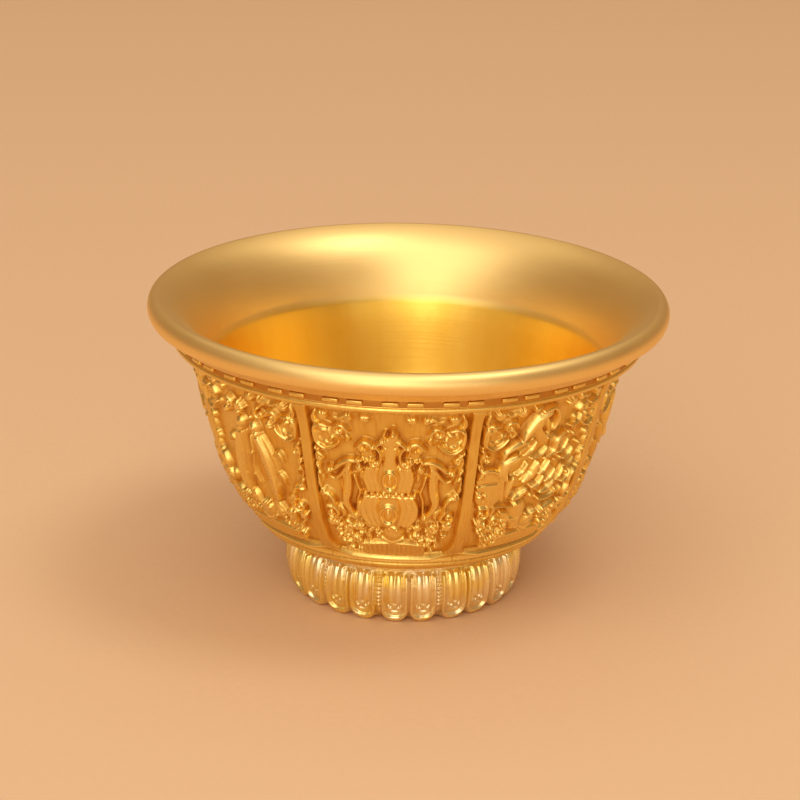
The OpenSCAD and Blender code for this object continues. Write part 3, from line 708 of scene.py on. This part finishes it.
def paint_knot(r):
    for off in (-1.3, 0.0, 1.3):
        r.strand([off - 4.3, 25.5 - off, off + 4.3, 34.1 - off], [0.62], 1.7)
        r.strand([off - 4.3, 34.1 + off, off + 4.3, 25.5 + off], [0.62], 1.55)
    for x, z, turn in ((0, 36.0, -60), (0, 23.2, 120), (-6.2, 29.7, 30), (6.2, 29.7, 210)):
        r.strand(arc((x, z), 1.5, turn, turn + 300, 13), [0.55], 1.6)
    for side in (1, -1):
        for z in (33.6, 25.8):
            r.strand(arc((side * 4.4, z), 1.2, 0, 330, 13), [0.5], 1.6)
        r.strand(moved(side)(0.6, 21.6, 2.4, 20.4, 2.0, 18.4), [0.4, 0.5, 0.25], 1.3)
    r.pearl(0, 38.6, 0.6, 1.7)
    r.sprig(0, 39.2, 1.2, 90, 1.5, 5)


def paint_wheel(r):
    def spot(turn, reach):
        return round_point(0, 29.8, reach, math.radians(turn))

    for radius, w, top in ((5.7, 0.95, 1.5), (5.7, 0.5, 2.0), (2.0, 0.5, 1.8)):
        r.strand(arc(spot(0, 0), radius, 0, 360, 25), [w], top)
    for turn in range(0, 360, 45):
        r.strand([spot(turn, reach) for reach in (2.0, 3.6, 5.4)], [0.3, 0.55, 0.3], 1.7)
        r.sprig(*spot(turn, 6.5), 1.1, turn, 1.6, 3)
        r.pearl(*spot(turn, 3.6), 0.38, 2.0)
    for turn in (90, 210, 330):
        r.dome(*spot(turn, 0.75), 0.8, 0.55, 2.1, turn=turn + 50)
    for side in (1, -1):
        ribbon = moved(side)(1.2, 22.6, 4.0, 21.2, 6.4, 22.6, 8.2, 21.6)
        r.strand(ribbon, [0.4, 0.7, 0.5, 0.25], 1.4)
    r.sprig(0, 20.2, 1.8, 90, 1.5, 7)


def paint_banner(r):
    r.dome(0, 35.2, 4.4, 2.2, 1.7)
    for k in range(-2, 3):
        r.strand([0.3 * k, 36.8, 1.3 * k, 35.6, 1.7 * k, 34.2], [0.2, 0.6, 0.7], 2.0)
    for z, half in ((33.0, 3.9), (29.6, 3.6), (26.2, 3.3), (23.0, 3.0)):
        r.strand([-half, z + 0.4, 0, z, half, z + 0.4], [0.5], 2.0)
        for k in range(-3, 4):
            x = k * half / 3.3
            r.strand([x, z - 0.4, x, z - 2.9], [half / 7.5, half / 7.0], 1.55)
    r.sprig(0, 37.6, 1.9, 90, 1.7, 5)
    r.strand([0, 20.6, 0, 17.6], [0.5, 0.45], 1.4)
    for side in (1, -1):
        at = moved(side)
        r.strand(at(4.1, 33.4, 6.6, 32.4, 5.8, 29.0, 7.2, 26.0, 6.0, 22.6), [0.35, 0.7, 0.6, 0.75, 0.3], 1.4)
        r.strand(at(4.4, 31.6, 5.0, 28.8, 4.6, 25.4, 5.4, 22.0), [0.3, 0.45, 0.5, 0.2], 1.2)
        r.pearl(side * 6.2, 22.2, 0.5, 1.6)


SIGNS = {"vase": paint_vase, "conch": paint_conch, "lotus": paint_lotus, "knot": paint_knot,
         "banner": paint_banner, "wheel": paint_wheel, "parasol": paint_parasol, "fish": paint_fish}


def paint_scrolls(r, seed):
    """Foliage in a plaque's corners, vines up its sides, waves and a fluted strip along its foot."""
    rng = np.random.default_rng(seed)
    for side in (1, -1):
        on = moved(side)

        def at(x, z):
            return side * (x + rng.uniform(-0.15, 0.15)), z + rng.uniform(-0.15, 0.15)

        # The corner: a large C of acanthus with lobes round it
        r.strand(on(11.2, 35.9, 11.4, 38.0, 10.4, 39.2, 9.0, 39.0), [0.3, 0.5, 0.45, 0.25], 1.75)
        x, z = at(9.7, 37.0)
        r.dome(x, z, 1.5, 1.5, 0.7, power=0.3)
        for t in np.arange(0, 360, 60) + rng.uniform(0, 50):
            length, top = rng.uniform(0.75, 1.1), rng.uniform(1.3, 1.75)
            r.dome(*round_point(x, z, 1.15, math.radians(t)), length, 0.5, top, turn=t + 70, lean=0.4)
        r.strand(on(11.0, 35.7, 9.8, 35.0, 8.4, 35.5, 7.4, 36.6), [0.3, 0.42, 0.42, 0.25], 1.7)
        r.curl(*at(7.2, 38.6), 1.15, 180 if side > 0 else 0, 1.2, -side, 0.4, 1.7)
        r.sprig(*at(3.9, 40.9), 1.5, 90 + side * 70, 1.6, 5)
        r.sprig(*at(5.2, 40.8), 1.3, 90 - side * 70, 1.5, 4)
        r.sprig(*at(9.0, 40.7), 1.6, 90 - side * 50, 1.6, 6)
        r.leaf(on(6.0, 41.2, 7.3, 40.5, 8.4, 40.8), 0.42, 1.5)
        r.leaf(on(10.9, 41.2, 11.3, 39.8, 10.8, 38.9), 0.45, 1.6)
        r.leaf(on(6.6, 37.7, 6.1, 36.9, 6.8, 36.2), 0.4, 1.45)
        # The vine down the side
        r.strand(on(10.9, 34.6, 11.6, 33.2, 11.0, 31.4, 11.7, 29.6, 11.2, 27.8, 11.7, 26.2),
                 [0.2, 0.28, 0.24, 0.28, 0.24, 0.2], 1.35)
        r.curl(*at(10.8, 33.2), 0.75, 90, 1.0, side, 0.28, 1.6)
        for x, z, size in ((11.7, 31.6, 0.45), (11.0, 30.2, 0.5), (11.7, 28.2, 0.5), (10.9, 27.0, 0.55),
                           (11.6, 34.8, 0.5)):
            r.pearl(*at(x, z), size, 1.65)
            r.leaf(on(x, z, x - 0.5, z - 0.7, x - 0.3, z - 1.4), 0.3, 1.4, vein=False)
        r.strand(on(11.2, 26.4, 10.0, 26.6, 9.2, 25.4, 9.3, 24.2), [0.3, 0.45, 0.4, 0.25], 1.7)
        r.curl(*at(9.9, 23.0), 1.4, 120, 1.2, side, 0.44, 1.8)
        r.leaf(on(8.5, 24.4, 7.7, 23.5, 8.1, 22.2), 0.5, 1.6)
        r.curl(*at(7.4, 21.0), 1.05, 30, 1.1, -side, 0.38, 1.7)
        r.sprig(*at(10.2, 20.6), 1.5, 90 + side * 20, 1.6, 5)
        r.sprig(*at(4.7, 20.6), 1.25, 90 - side * 20, 1.6, 5)
    # Curling waves with bright crests, in rows that leave the middle free
    for row, (z, step, size, free) in enumerate((
            (20.6, 1.7, 0.7, 0), (19.3, 1.45, 0.66, 2.4), (18.1, 1.35, 0.62, 4.4),
            (17.0, 1.3, 0.56, 5.7), (15.9, 1.3, 0.46, 5.7))):
        reach = 10.4 - 0.55 * row
        for k, x in enumerate(np.arange(-reach + 0.4 * (row % 2), reach + 0.1, step)):
            if abs(x - 0.6) < free:
                continue
            jx, jz = rng.uniform(-0.3, 0.3, 2)
            hand = 1 if (k + row) % 2 else -1
            turn = rng.uniform(-50, 50) + 90
            top = rng.uniform(1.35, 1.8)
            r.curl(x + jx, z + jz, size * rng.uniform(0.8, 1.2), turn, 0.75, hand, 0.3, top)
            r.dome(x + jx - 0.5 * hand, z + jz + 0.45, 0.5, 0.3, top * 1.05, turn=rng.uniform(-60, 60))
    r.dome(0.6, 19.6, 2.1, 1.6, 1.5, power=0.5)
    r.strand([-1.4, 19.0, 0.5, 18.2, 2.6, 19.0], [0.2, 0.3, 0.2], 1.6)
    # The fluted strip under the sign
    for k in range(13):
        x = -4.9 + 0.93 * k
        r.strand([x, 17.3 - 0.01 * x * x, x, 15.4], [0.48], 1.3, power=0.3)
    r.strand([-5.6, 17.3, 0.6, 17.85, 6.8, 17.3], [0.26], 1.55)
    r.strand([-5.4, 15.3, 0.6, 15.2, 6.6, 15.3], [0.24], 1.3)


CELL = 0.098
BACK_CELLS = 8, 9  # across and up a plaque's back
PLAQUE_Z = 12.95  # a plaque's lower edge
FIRST_SEED = 3
WEAR = 0.82  # share of the relief's height that is left


def relief_of(index, sign):
    """A plaque's relief: its scrolls, its sign over them, worn and set in its frame."""
    edge = math.radians(PITCH / 2) * UNROLL_R
    r = Relief(-edge, edge, PLAQUE_Z, PLAQUE_TOP_Z, CELL)
    paint_scrolls(r, FIRST_SEED + index)
    r.fill(0.5, 0.5)
    SIGNS[sign](r)
    # The low fringe at the field's border sinks into the frame
    x, z = np.meshgrid(r.xs, r.zs)
    beside = np.abs(x)
    r.h *= ramp(beside, edge - 0.9, edge - 1.4) * ramp(z, PLAQUE_TOP_Z - 0.2, PLAQUE_TOP_Z - 0.5)
    r.h *= ramp(z, RIM_Z + 0.3, RIM_Z + 0.8)
    for _ in range(2):
        r.soften(0.5)
    r.h *= WEAR
    # The top rail, the step under the moulded line, that line and the thin bead
    rail = ramp(z, PLAQUE_TOP_Z - 0.25, PLAQUE_TOP_Z - 0.13) * (GROUND_DEPTH - 0.6)
    r.h = np.maximum(r.h, np.maximum(rail, 0.7 * ramp(z, RIM_Z, RIM_Z - 0.3)))
    near_rib = ramp(beside, edge - 5.0, edge - 1.0)
    for middle, half, top in ((RIM_Z, 0.28, 1.4 - 0.7 * near_rib), (THIN_BEAD_Z, 0.3, 1.3)):
        d = np.abs(z - middle) / half
        r.h = np.maximum(r.h, top * np.sqrt(np.clip(1 - d * d, 0, 1)))
    return r


def make_plaque(index, sign):
    """The relief laid round the wall, with its border folded back to the cup."""
    r = relief_of(index, sign)
    turn = math.radians(PLAQUE_TURN + PITCH * index)
    az = turn + r.xs / UNROLL_R
    out = r.h - GROUND_DEPTH
    s = np.broadcast_to(place_at(r.zs)[:, None], out.shape)
    rz = wall(s, out)
    back = wall(s, np.full(out.shape, -BACK_DEPTH))
    border = np.zeros(out.shape, bool)
    border[[0, -1], :] = border[:, [0, -1]] = True
    rz[border] = back[border]
    # How far each point lies in a recess, which chased_gold paints as shade
    hollow = np.clip(r.hollows(0.55) * 1.1, 0, 1)
    cell = (r.nx // BACK_CELLS[0], r.nz // BACK_CELLS[1])
    wrapped("plaque_" + sign, turned_to(az, rz), r.h, hollow, "panel_" + sign, turned_to(az, back), cell)


def make_rib(index):
    """A flat upright strip with soft edges that spreads at its head and foot."""
    nx, nz = 22, 190
    turn = math.radians(PLAQUE_TURN + PITCH * (index - 0.5))
    z = np.linspace(RIB_Z, PLAQUE_TOP_Z + 0.3, nz + 1)[:, None]
    foot = ramp(z, RIB_Z + 3.0, RIB_Z - 0.2)
    head = ramp(z, PLAQUE_TOP_Z - 1.5, PLAQUE_TOP_Z + 0.3)
    half = RIB_W / 2 + 1.2 * foot ** 2.2 + 0.4 * head ** 2.5
    u = np.linspace(-1, 1, nx + 1)[None, :]
    x = u * half
    side = ramp((1 - np.abs(u)) * half, 0, 0.32)
    drop = (1 - np.sqrt(1 - (1 - side) ** 2)) * (GROUND_DEPTH + 0.35)
    out = 0.05 - drop - 0.42 * foot ** 1.5 - 0.2 * head ** 3
    out[[0, -1], :] = -BACK_DEPTH
    s = np.broadcast_to(place_at(z), out.shape)
    rz = wall(s, out)
    place = turned_to(turn + x / rz[..., 0], rz)
    name = "rib_%d" % index
    wrapped(name + "_strip", place, 0.45 - 0.5 * drop, np.zeros(out.shape), name, place, (nx, nz // 10))


def make_cup():
    """The turned cup: floor, wall, flare over the crease inside, and round lip."""
    edge = np.array([LIP_R - LIP_T / 2, BOWL_H - LIP_T / 2])
    throat = wall(1.0, -CUP_DEPTH - CUP_T)
    slope = cubic_slope(BELLY, 1.0)
    slope = slope / np.linalg.norm(slope)
    mouth = np.array([
        (edge[0], BOWL_H),
        (throat[0] + (edge[0] - throat[0]) * 0.55, throat[1] + (BOWL_H - throat[1]) * 0.9),
        throat + slope * (edge[0] - throat[0]),
        throat,
    ])

    def floor_curve(start, flat):
        v = cubic_slope(BELLY, 0.0)
        start = np.asarray(start)
        return np.array([start, start - v / v[1] * (start[1] - flat[1]) * 0.75,
                         (start[0] + (flat[0] - start[0]) * 0.55, flat[1]), flat])

    flare = cubic(mouth, np.linspace(0, 1, 90))[1:]
    above = flare[:, 1] - CREASE_Z
    flare[:, 0] += CREASE_DEPTH * ramp(above, 0, 1.1) * np.exp(-np.maximum(above, 0) / 4.0)
    outside = floor_curve(wall(0.0, -CUP_DEPTH), (FLOOR_R, SEAT_Z))
    inside = floor_curve(wall(0.0, -CUP_DEPTH - CUP_T), (FLOOR_R, SEAT_Z + FLOOR_T))
    lip_s = place_at(LIP_Z)
    outline = np.vstack([
        [(0.0, SEAT_Z)],
        cubic(outside, np.linspace(1, 0, 14)),
        wall(np.linspace(0.04, lip_s, 40), -CUP_DEPTH),
        wall(np.linspace(lip_s, 2, 12), 0.0),
        arc(edge, LIP_T / 2, -40, 90, 24) * (1, LIP_STRETCH) - (0, (LIP_STRETCH - 1) * BOWL_H),
        flare,
        wall(np.linspace(0.97, 0.03, 34), -CUP_DEPTH - CUP_T),
        cubic(inside, np.linspace(0, 1, 18)),
        [(0.0, SEAT_Z + FLOOR_T)],
    ])
    finished("cup", spun(outline, 288, closed=False), "inner_cup", "turned_gold")


def paired_turns(pairs, start):
    """Turns in degrees of pieces that stand in pairs round the axis."""
    pitch = 360 / pairs
    return [start + (k + half * PAIR_SHARE) * pitch for k in range(pairs) for half in (-0.5, 0.5)]


def pads(bm, turns, centre, size, soft):
    """Small soft-edged blocks round the axis."""
    for turn in turns:
        made = bmesh.ops.create_cube(bm, size=1.0)["verts"]
        bmesh.ops.scale(bm, vec=size, verts=made)
        edges = {e for v in made for e in v.link_edges}
        new = bmesh.ops.bevel(bm, geom=list(edges), offset=soft, offset_type="OFFSET", segments=2,
                              profile=0.5, affect="EDGES", material=-1)["verts"]
        verts = list(set(new) | {v for v in made if v.is_valid})
        moves = Matrix.Rotation(math.radians(turn), 4, "Z") @ Matrix.Translation((0, -centre[0], centre[1]))
        bmesh.ops.transform(bm, matrix=moves, verts=verts)


def make_upper_band():
    """A face along the wall, a bead, and a recess under the lip with dentils in pairs."""
    start, end = place_at(PLAQUE_TOP_Z), place_at(LIP_Z - GAP)
    recess_r = wall(place_at(LIP_Z))[0] - RECESS_DEPTH
    bead = (recess_r - BAND_BEAD_D / 4, PLAQUE_TOP_Z + BEAD_RISE)
    recess_z = bead[1] + BAND_BEAD_D / 2
    face_end = place_at(bead[1] - BAND_BEAD_D / 2)
    outline = np.vstack([
        [wall(start, -BACK_DEPTH)],
        wall(np.linspace(start, face_end - 0.01, 4), -BAND_DEPTH),
        arc(bead, BAND_BEAD_D / 2, -110, 62, 18),
        [(recess_r, recess_z), (recess_r, LIP_Z - GAP)],
        [wall(end, -BACK_DEPTH)],
    ])
    bm = spun(outline, 320)
    pads(bm, paired_turns(DENTIL_PAIRS, DENTIL_TURN), (recess_r, recess_z + (LIP_Z - recess_z) * 0.42),
         (2.6, 2 * DENTIL_T, 0.75), 0.2)
    piece = finished("dentil_band", bm, "upper_band")
    # The band gets a painted highlight over it, and painted shade in the recess under the lip
    toned(piece.data, 0.9, lambda r, z: (r < recess_r + 0.1) * (z > recess_z - 0.05) * 0.6)


def make_lower_moulding():
    """The double bead under the plaques' feet, seated on the foot."""
    top = place_at(RIB_Z)
    bead = wall(0.0, -0.12)
    tip = wall(0.0, 0.88) - bead
    turn = math.degrees(math.atan2(tip[1], tip[0]))
    outline = np.vstack([
        [wall(top, -BACK_DEPTH)],
        wall(np.linspace(top, 0.03, 6), -MOULDING_DEPTH),
        arc(bead, 0.6, turn + 90, turn - 90, 16),
        arc((21.6, 12.0), 1.15, -20, -80, 6),
        [(NECK_R + LOBE_T + 0.4, SEAT_Z + 0.25), (NECK_R + LOBE_T, SEAT_Z), (17.8, SEAT_Z)],
        [(19.4, 11.4), (21.4, 12.6)],
    ])
    piece = finished("double_moulding", spun(outline, 288), "lower_moulding")
    toned(piece.data, 0.5)


LOBE_HALF = 2.28  # half a lobe's width
SCALLOP = 2.0  # how far the sole rises between two petals
PETAL_CELLS = 76  # across a petal of two lobes


def foot_wall(z):
    """Radius of the foot's wall behind the petals."""
    bulge = cubic(np.array([(FOOT_R - 0.35, 0), (BULGE_R - 0.1, BULGE_Z * 0.35), (BULGE_R, BULGE_Z * 1.1),
                            (NECK_R - 0.4, PETAL_H)]), np.linspace(0, 1, 60))
    return np.interp(z, bulge[:, 1], bulge[:, 0])


def paint_lobe(r, x):
    """One lobe of a petal: two soft flutes over small curls, in a thick rim with a fine one inside."""
    part, px, pz = r.window(x - LOBE_HALF, x + LOBE_HALF, 0, PETAL_H)
    u = (px - x) / LOBE_HALF
    end = 1 - ramp(pz, 2.0, 0.0) ** 2
    inside = np.clip(end - u * u, 0, 1)
    r.raise_to(part, np.where(inside > 0, 0.2 + 0.4 * inside ** 0.4, 0))

    def hem(inset, foot_z, widths, top, z_top):
        side = LOBE_HALF - inset
        end = arc((0, side), side, 180, 360, 9) * (1, 0.95) + (x, foot_z)
        line = np.vstack([[(x - side, z_top), (x - side, 5.5)], end, [(x + side, 5.5), (x + side, z_top)]])
        r.strand(line, widths, top, foot=0.5, power=0.45)

    hem(0.4, 0.45, [0.28, 0.36, 0.72, 0.36, 0.28], 1.25, PETAL_H - 0.4)
    hem(1.22, 1.9, [0.08, 0.12, 0.2, 0.12, 0.08], 0.9, 3.6)
    for side in (1, -1):
        r.strand([x + side * 0.6, PETAL_H - 0.2, x + side * 0.62, 6.4, x + side * 0.55, 3.9],
                 [0.5, 0.66, 0.45], 1.05, foot=0.6, power=0.5)
        r.curl(x + side * 0.72, 3.0, 0.6, 90, 1.0, side, 0.2, 1.2, eye=False)


def make_foot():
    """The petals' relief round the foot, its hollow and top plate, and the neck's knobs."""
    period = math.tau / PETALS
    width = period * BULGE_R
    r = Relief(-width / 2, width / 2, 0.0, FOOT_H, width / PETAL_CELLS)
    strip = width / 2 - 2 * LOBE_HALF
    for side in (1, -1):
        paint_lobe(r, side * (LOBE_HALF + 0.02))
        r.strand([side * width / 2, 1.8, side * width / 2, PETAL_H], [strip * 0.7], 0.4, power=0.3)
        for k in range(8):
            r.pearl(side * width / 2, 3.0 + 0.7 * k, 0.27, 0.8)
    r.h[r.zs > PETAL_H] = 0
    r.soften(0.5)
    # The sole follows the lobes' round ends, with the drop between two petals
    u = np.clip(np.abs(np.abs(r.xs) - LOBE_HALF) / LOBE_HALF, 0, 1)
    sole = SCALLOP * (1 - np.sqrt(1 - u * u))
    sole = np.minimum(sole, np.where(np.abs(r.xs) < LOBE_HALF, SCALLOP * 0.5, SCALLOP))
    z_of = sole + (r.zs / FOOT_H)[:, None] * (FOOT_H - sole)
    # How far each point lies in a groove, which chased_gold paints as shade
    hollow_of = np.clip(r.hollows(0.45) * 1.7, 0, 1)
    h = np.stack([np.interp(z_of[:, i], r.zs, r.h[:, i]) for i in range(r.nx + 1)], -1)
    hollow = np.stack([np.interp(z_of[:, i], r.zs, hollow_of[:, i]) for i in range(r.nx + 1)], -1)
    # One petal, repeated round the foot
    h, hollow, z_of = (np.hstack([np.tile(a[:, :-1], (1, PETALS)), a[:, :1]]) for a in (h, hollow, z_of))
    nx = h.shape[1] - 1
    az = math.radians(PETAL_TURN) - period / 2 + np.arange(nx + 1) * math.tau / nx
    radius = np.where(z_of < PETAL_H, foot_wall(z_of), NECK_R) + h
    # Rings that close the foot: its resting edge, its hollow and its top plate
    ceiling = FOOT_H - FOOT_PLATE_T
    low = [(0.0, ceiling), (HOLLOW_R - 0.8, ceiling), (HOLLOW_R, ceiling - 0.8), (HOLLOW_R, 0.2),
           (HOLLOW_R + 0.9, 0.2)]
    rows = [(np.full(nx + 1, a), np.full(nx + 1, b)) for a, b in low]
    rows += list(zip(radius, z_of)) + [(np.full(nx + 1, 0.0), np.full(nx + 1, FOOT_H))]
    place = turned_to(az, np.stack([np.array(a) for a in zip(*rows)], -1))
    pad = ((len(low), 1), (0, 0))
    # The rings under and inside the foot get a flat hollow value of 0.3: painted shade
    wrapped("lotus_petals", place, np.pad(h, pad), np.pad(hollow, pad, constant_values=0.3), "lotus_foot")
    bm = bmesh.new()
    pads(bm, paired_turns(KNOB_PAIRS, PETAL_TURN), (NECK_R + 0.1, (PETAL_H + FOOT_H) / 2 + 0.1),
         (1.0, 1.3, 1.0), 0.3)
    # The knobs get a slight painted highlight
    toned(finished("neck_knobs", bm).data, 0.8)


make_cup()
make_upper_band()
make_lower_moulding()
make_foot()
for index, sign in enumerate(SIGNS):
    make_plaque(index, sign)
    make_rib(index + 1)


# Stage, light and camera, in metres

TABLE_HALF = 3.0
CAMERA_FAR, CAMERA_RISE, CAMERA_ROLL = 0.450, 20.35, 1.14  # from its aim, and degrees
FOCAL_PX, PICTURE_PX = 2710.0, 800.0
SHIFT_PX = -5.87, 39.1


def make_floor():
    bm = bmesh.new()
    bmesh.ops.create_grid(bm, x_segments=1, y_segments=1, size=TABLE_HALF)
    table = put("table", mesh_of("table", bm))
    table.data.materials.append(pale_table())


def softbox(name, place, size, power, colour, aim=(0, 0, 0.03)):
    """A rectangular area lamp, turned towards its aim."""
    lamp = bpy.data.lights.new(name, "AREA")
    lamp.shape, lamp.size, lamp.size_y = "RECTANGLE", *size
    lamp.energy, lamp.color = power, colour
    box = put(name, lamp)
    box.location = place
    box.rotation_euler = (Vector(aim) - Vector(place)).to_track_quat("-Z", "Y").to_euler()


def make_world():
    world = bpy.data.worlds.new("room")
    world.use_nodes = True
    back = world.node_tree.nodes["Background"]
    back.inputs["Color"].default_value = (*WORLD, 1.0)
    back.inputs["Strength"].default_value = 0.35
    bpy.context.scene.world = world


def make_camera():
    """The photograph's camera: fitted distance, height, roll and framing."""
    camera = bpy.data.cameras.new("camera")
    camera.sensor_width = 36.0
    camera.lens = FOCAL_PX / PICTURE_PX * camera.sensor_width
    camera.shift_x, camera.shift_y = (shift / PICTURE_PX for shift in SHIFT_PX)
    eye = put("camera", camera)
    turn = (Matrix.Rotation(math.radians(90 - CAMERA_RISE), 4, "X")
            @ Matrix.Rotation(math.radians(CAMERA_ROLL), 4, "Z"))
    eye.matrix_world = Matrix.Translation((0, 0, 0.025)) @ turn @ Matrix.Translation((0, 0, CAMERA_FAR))
    bpy.context.scene.camera = eye


make_floor()
make_world()
softbox("ceiling_light", (0, 0.1, 1.6), (2.4, 2.4), 9.6, (1.0, 0.98, 0.95), aim=(0, 0.1, 0))
softbox("wide_light", (-0.35, -1.0, 1.15), (1.4, 1.3), 8.0, (1.0, 0.98, 0.94))
softbox("top_light", (0.34, -0.18, 1.0), (0.35, 0.35), 1.75, (1.0, 0.98, 0.94))
softbox("low_light", (0, -1.2, 0.25), (1.6, 0.45), 2.9, (1.0, 0.98, 0.92))
softbox("front_light", (-0.22, -1.13, 0.45), (0.28, 0.5), 1.0, (1.0, 0.96, 0.88))
make_camera()

bpy.context.scene.view_settings.view_transform = "Standard"
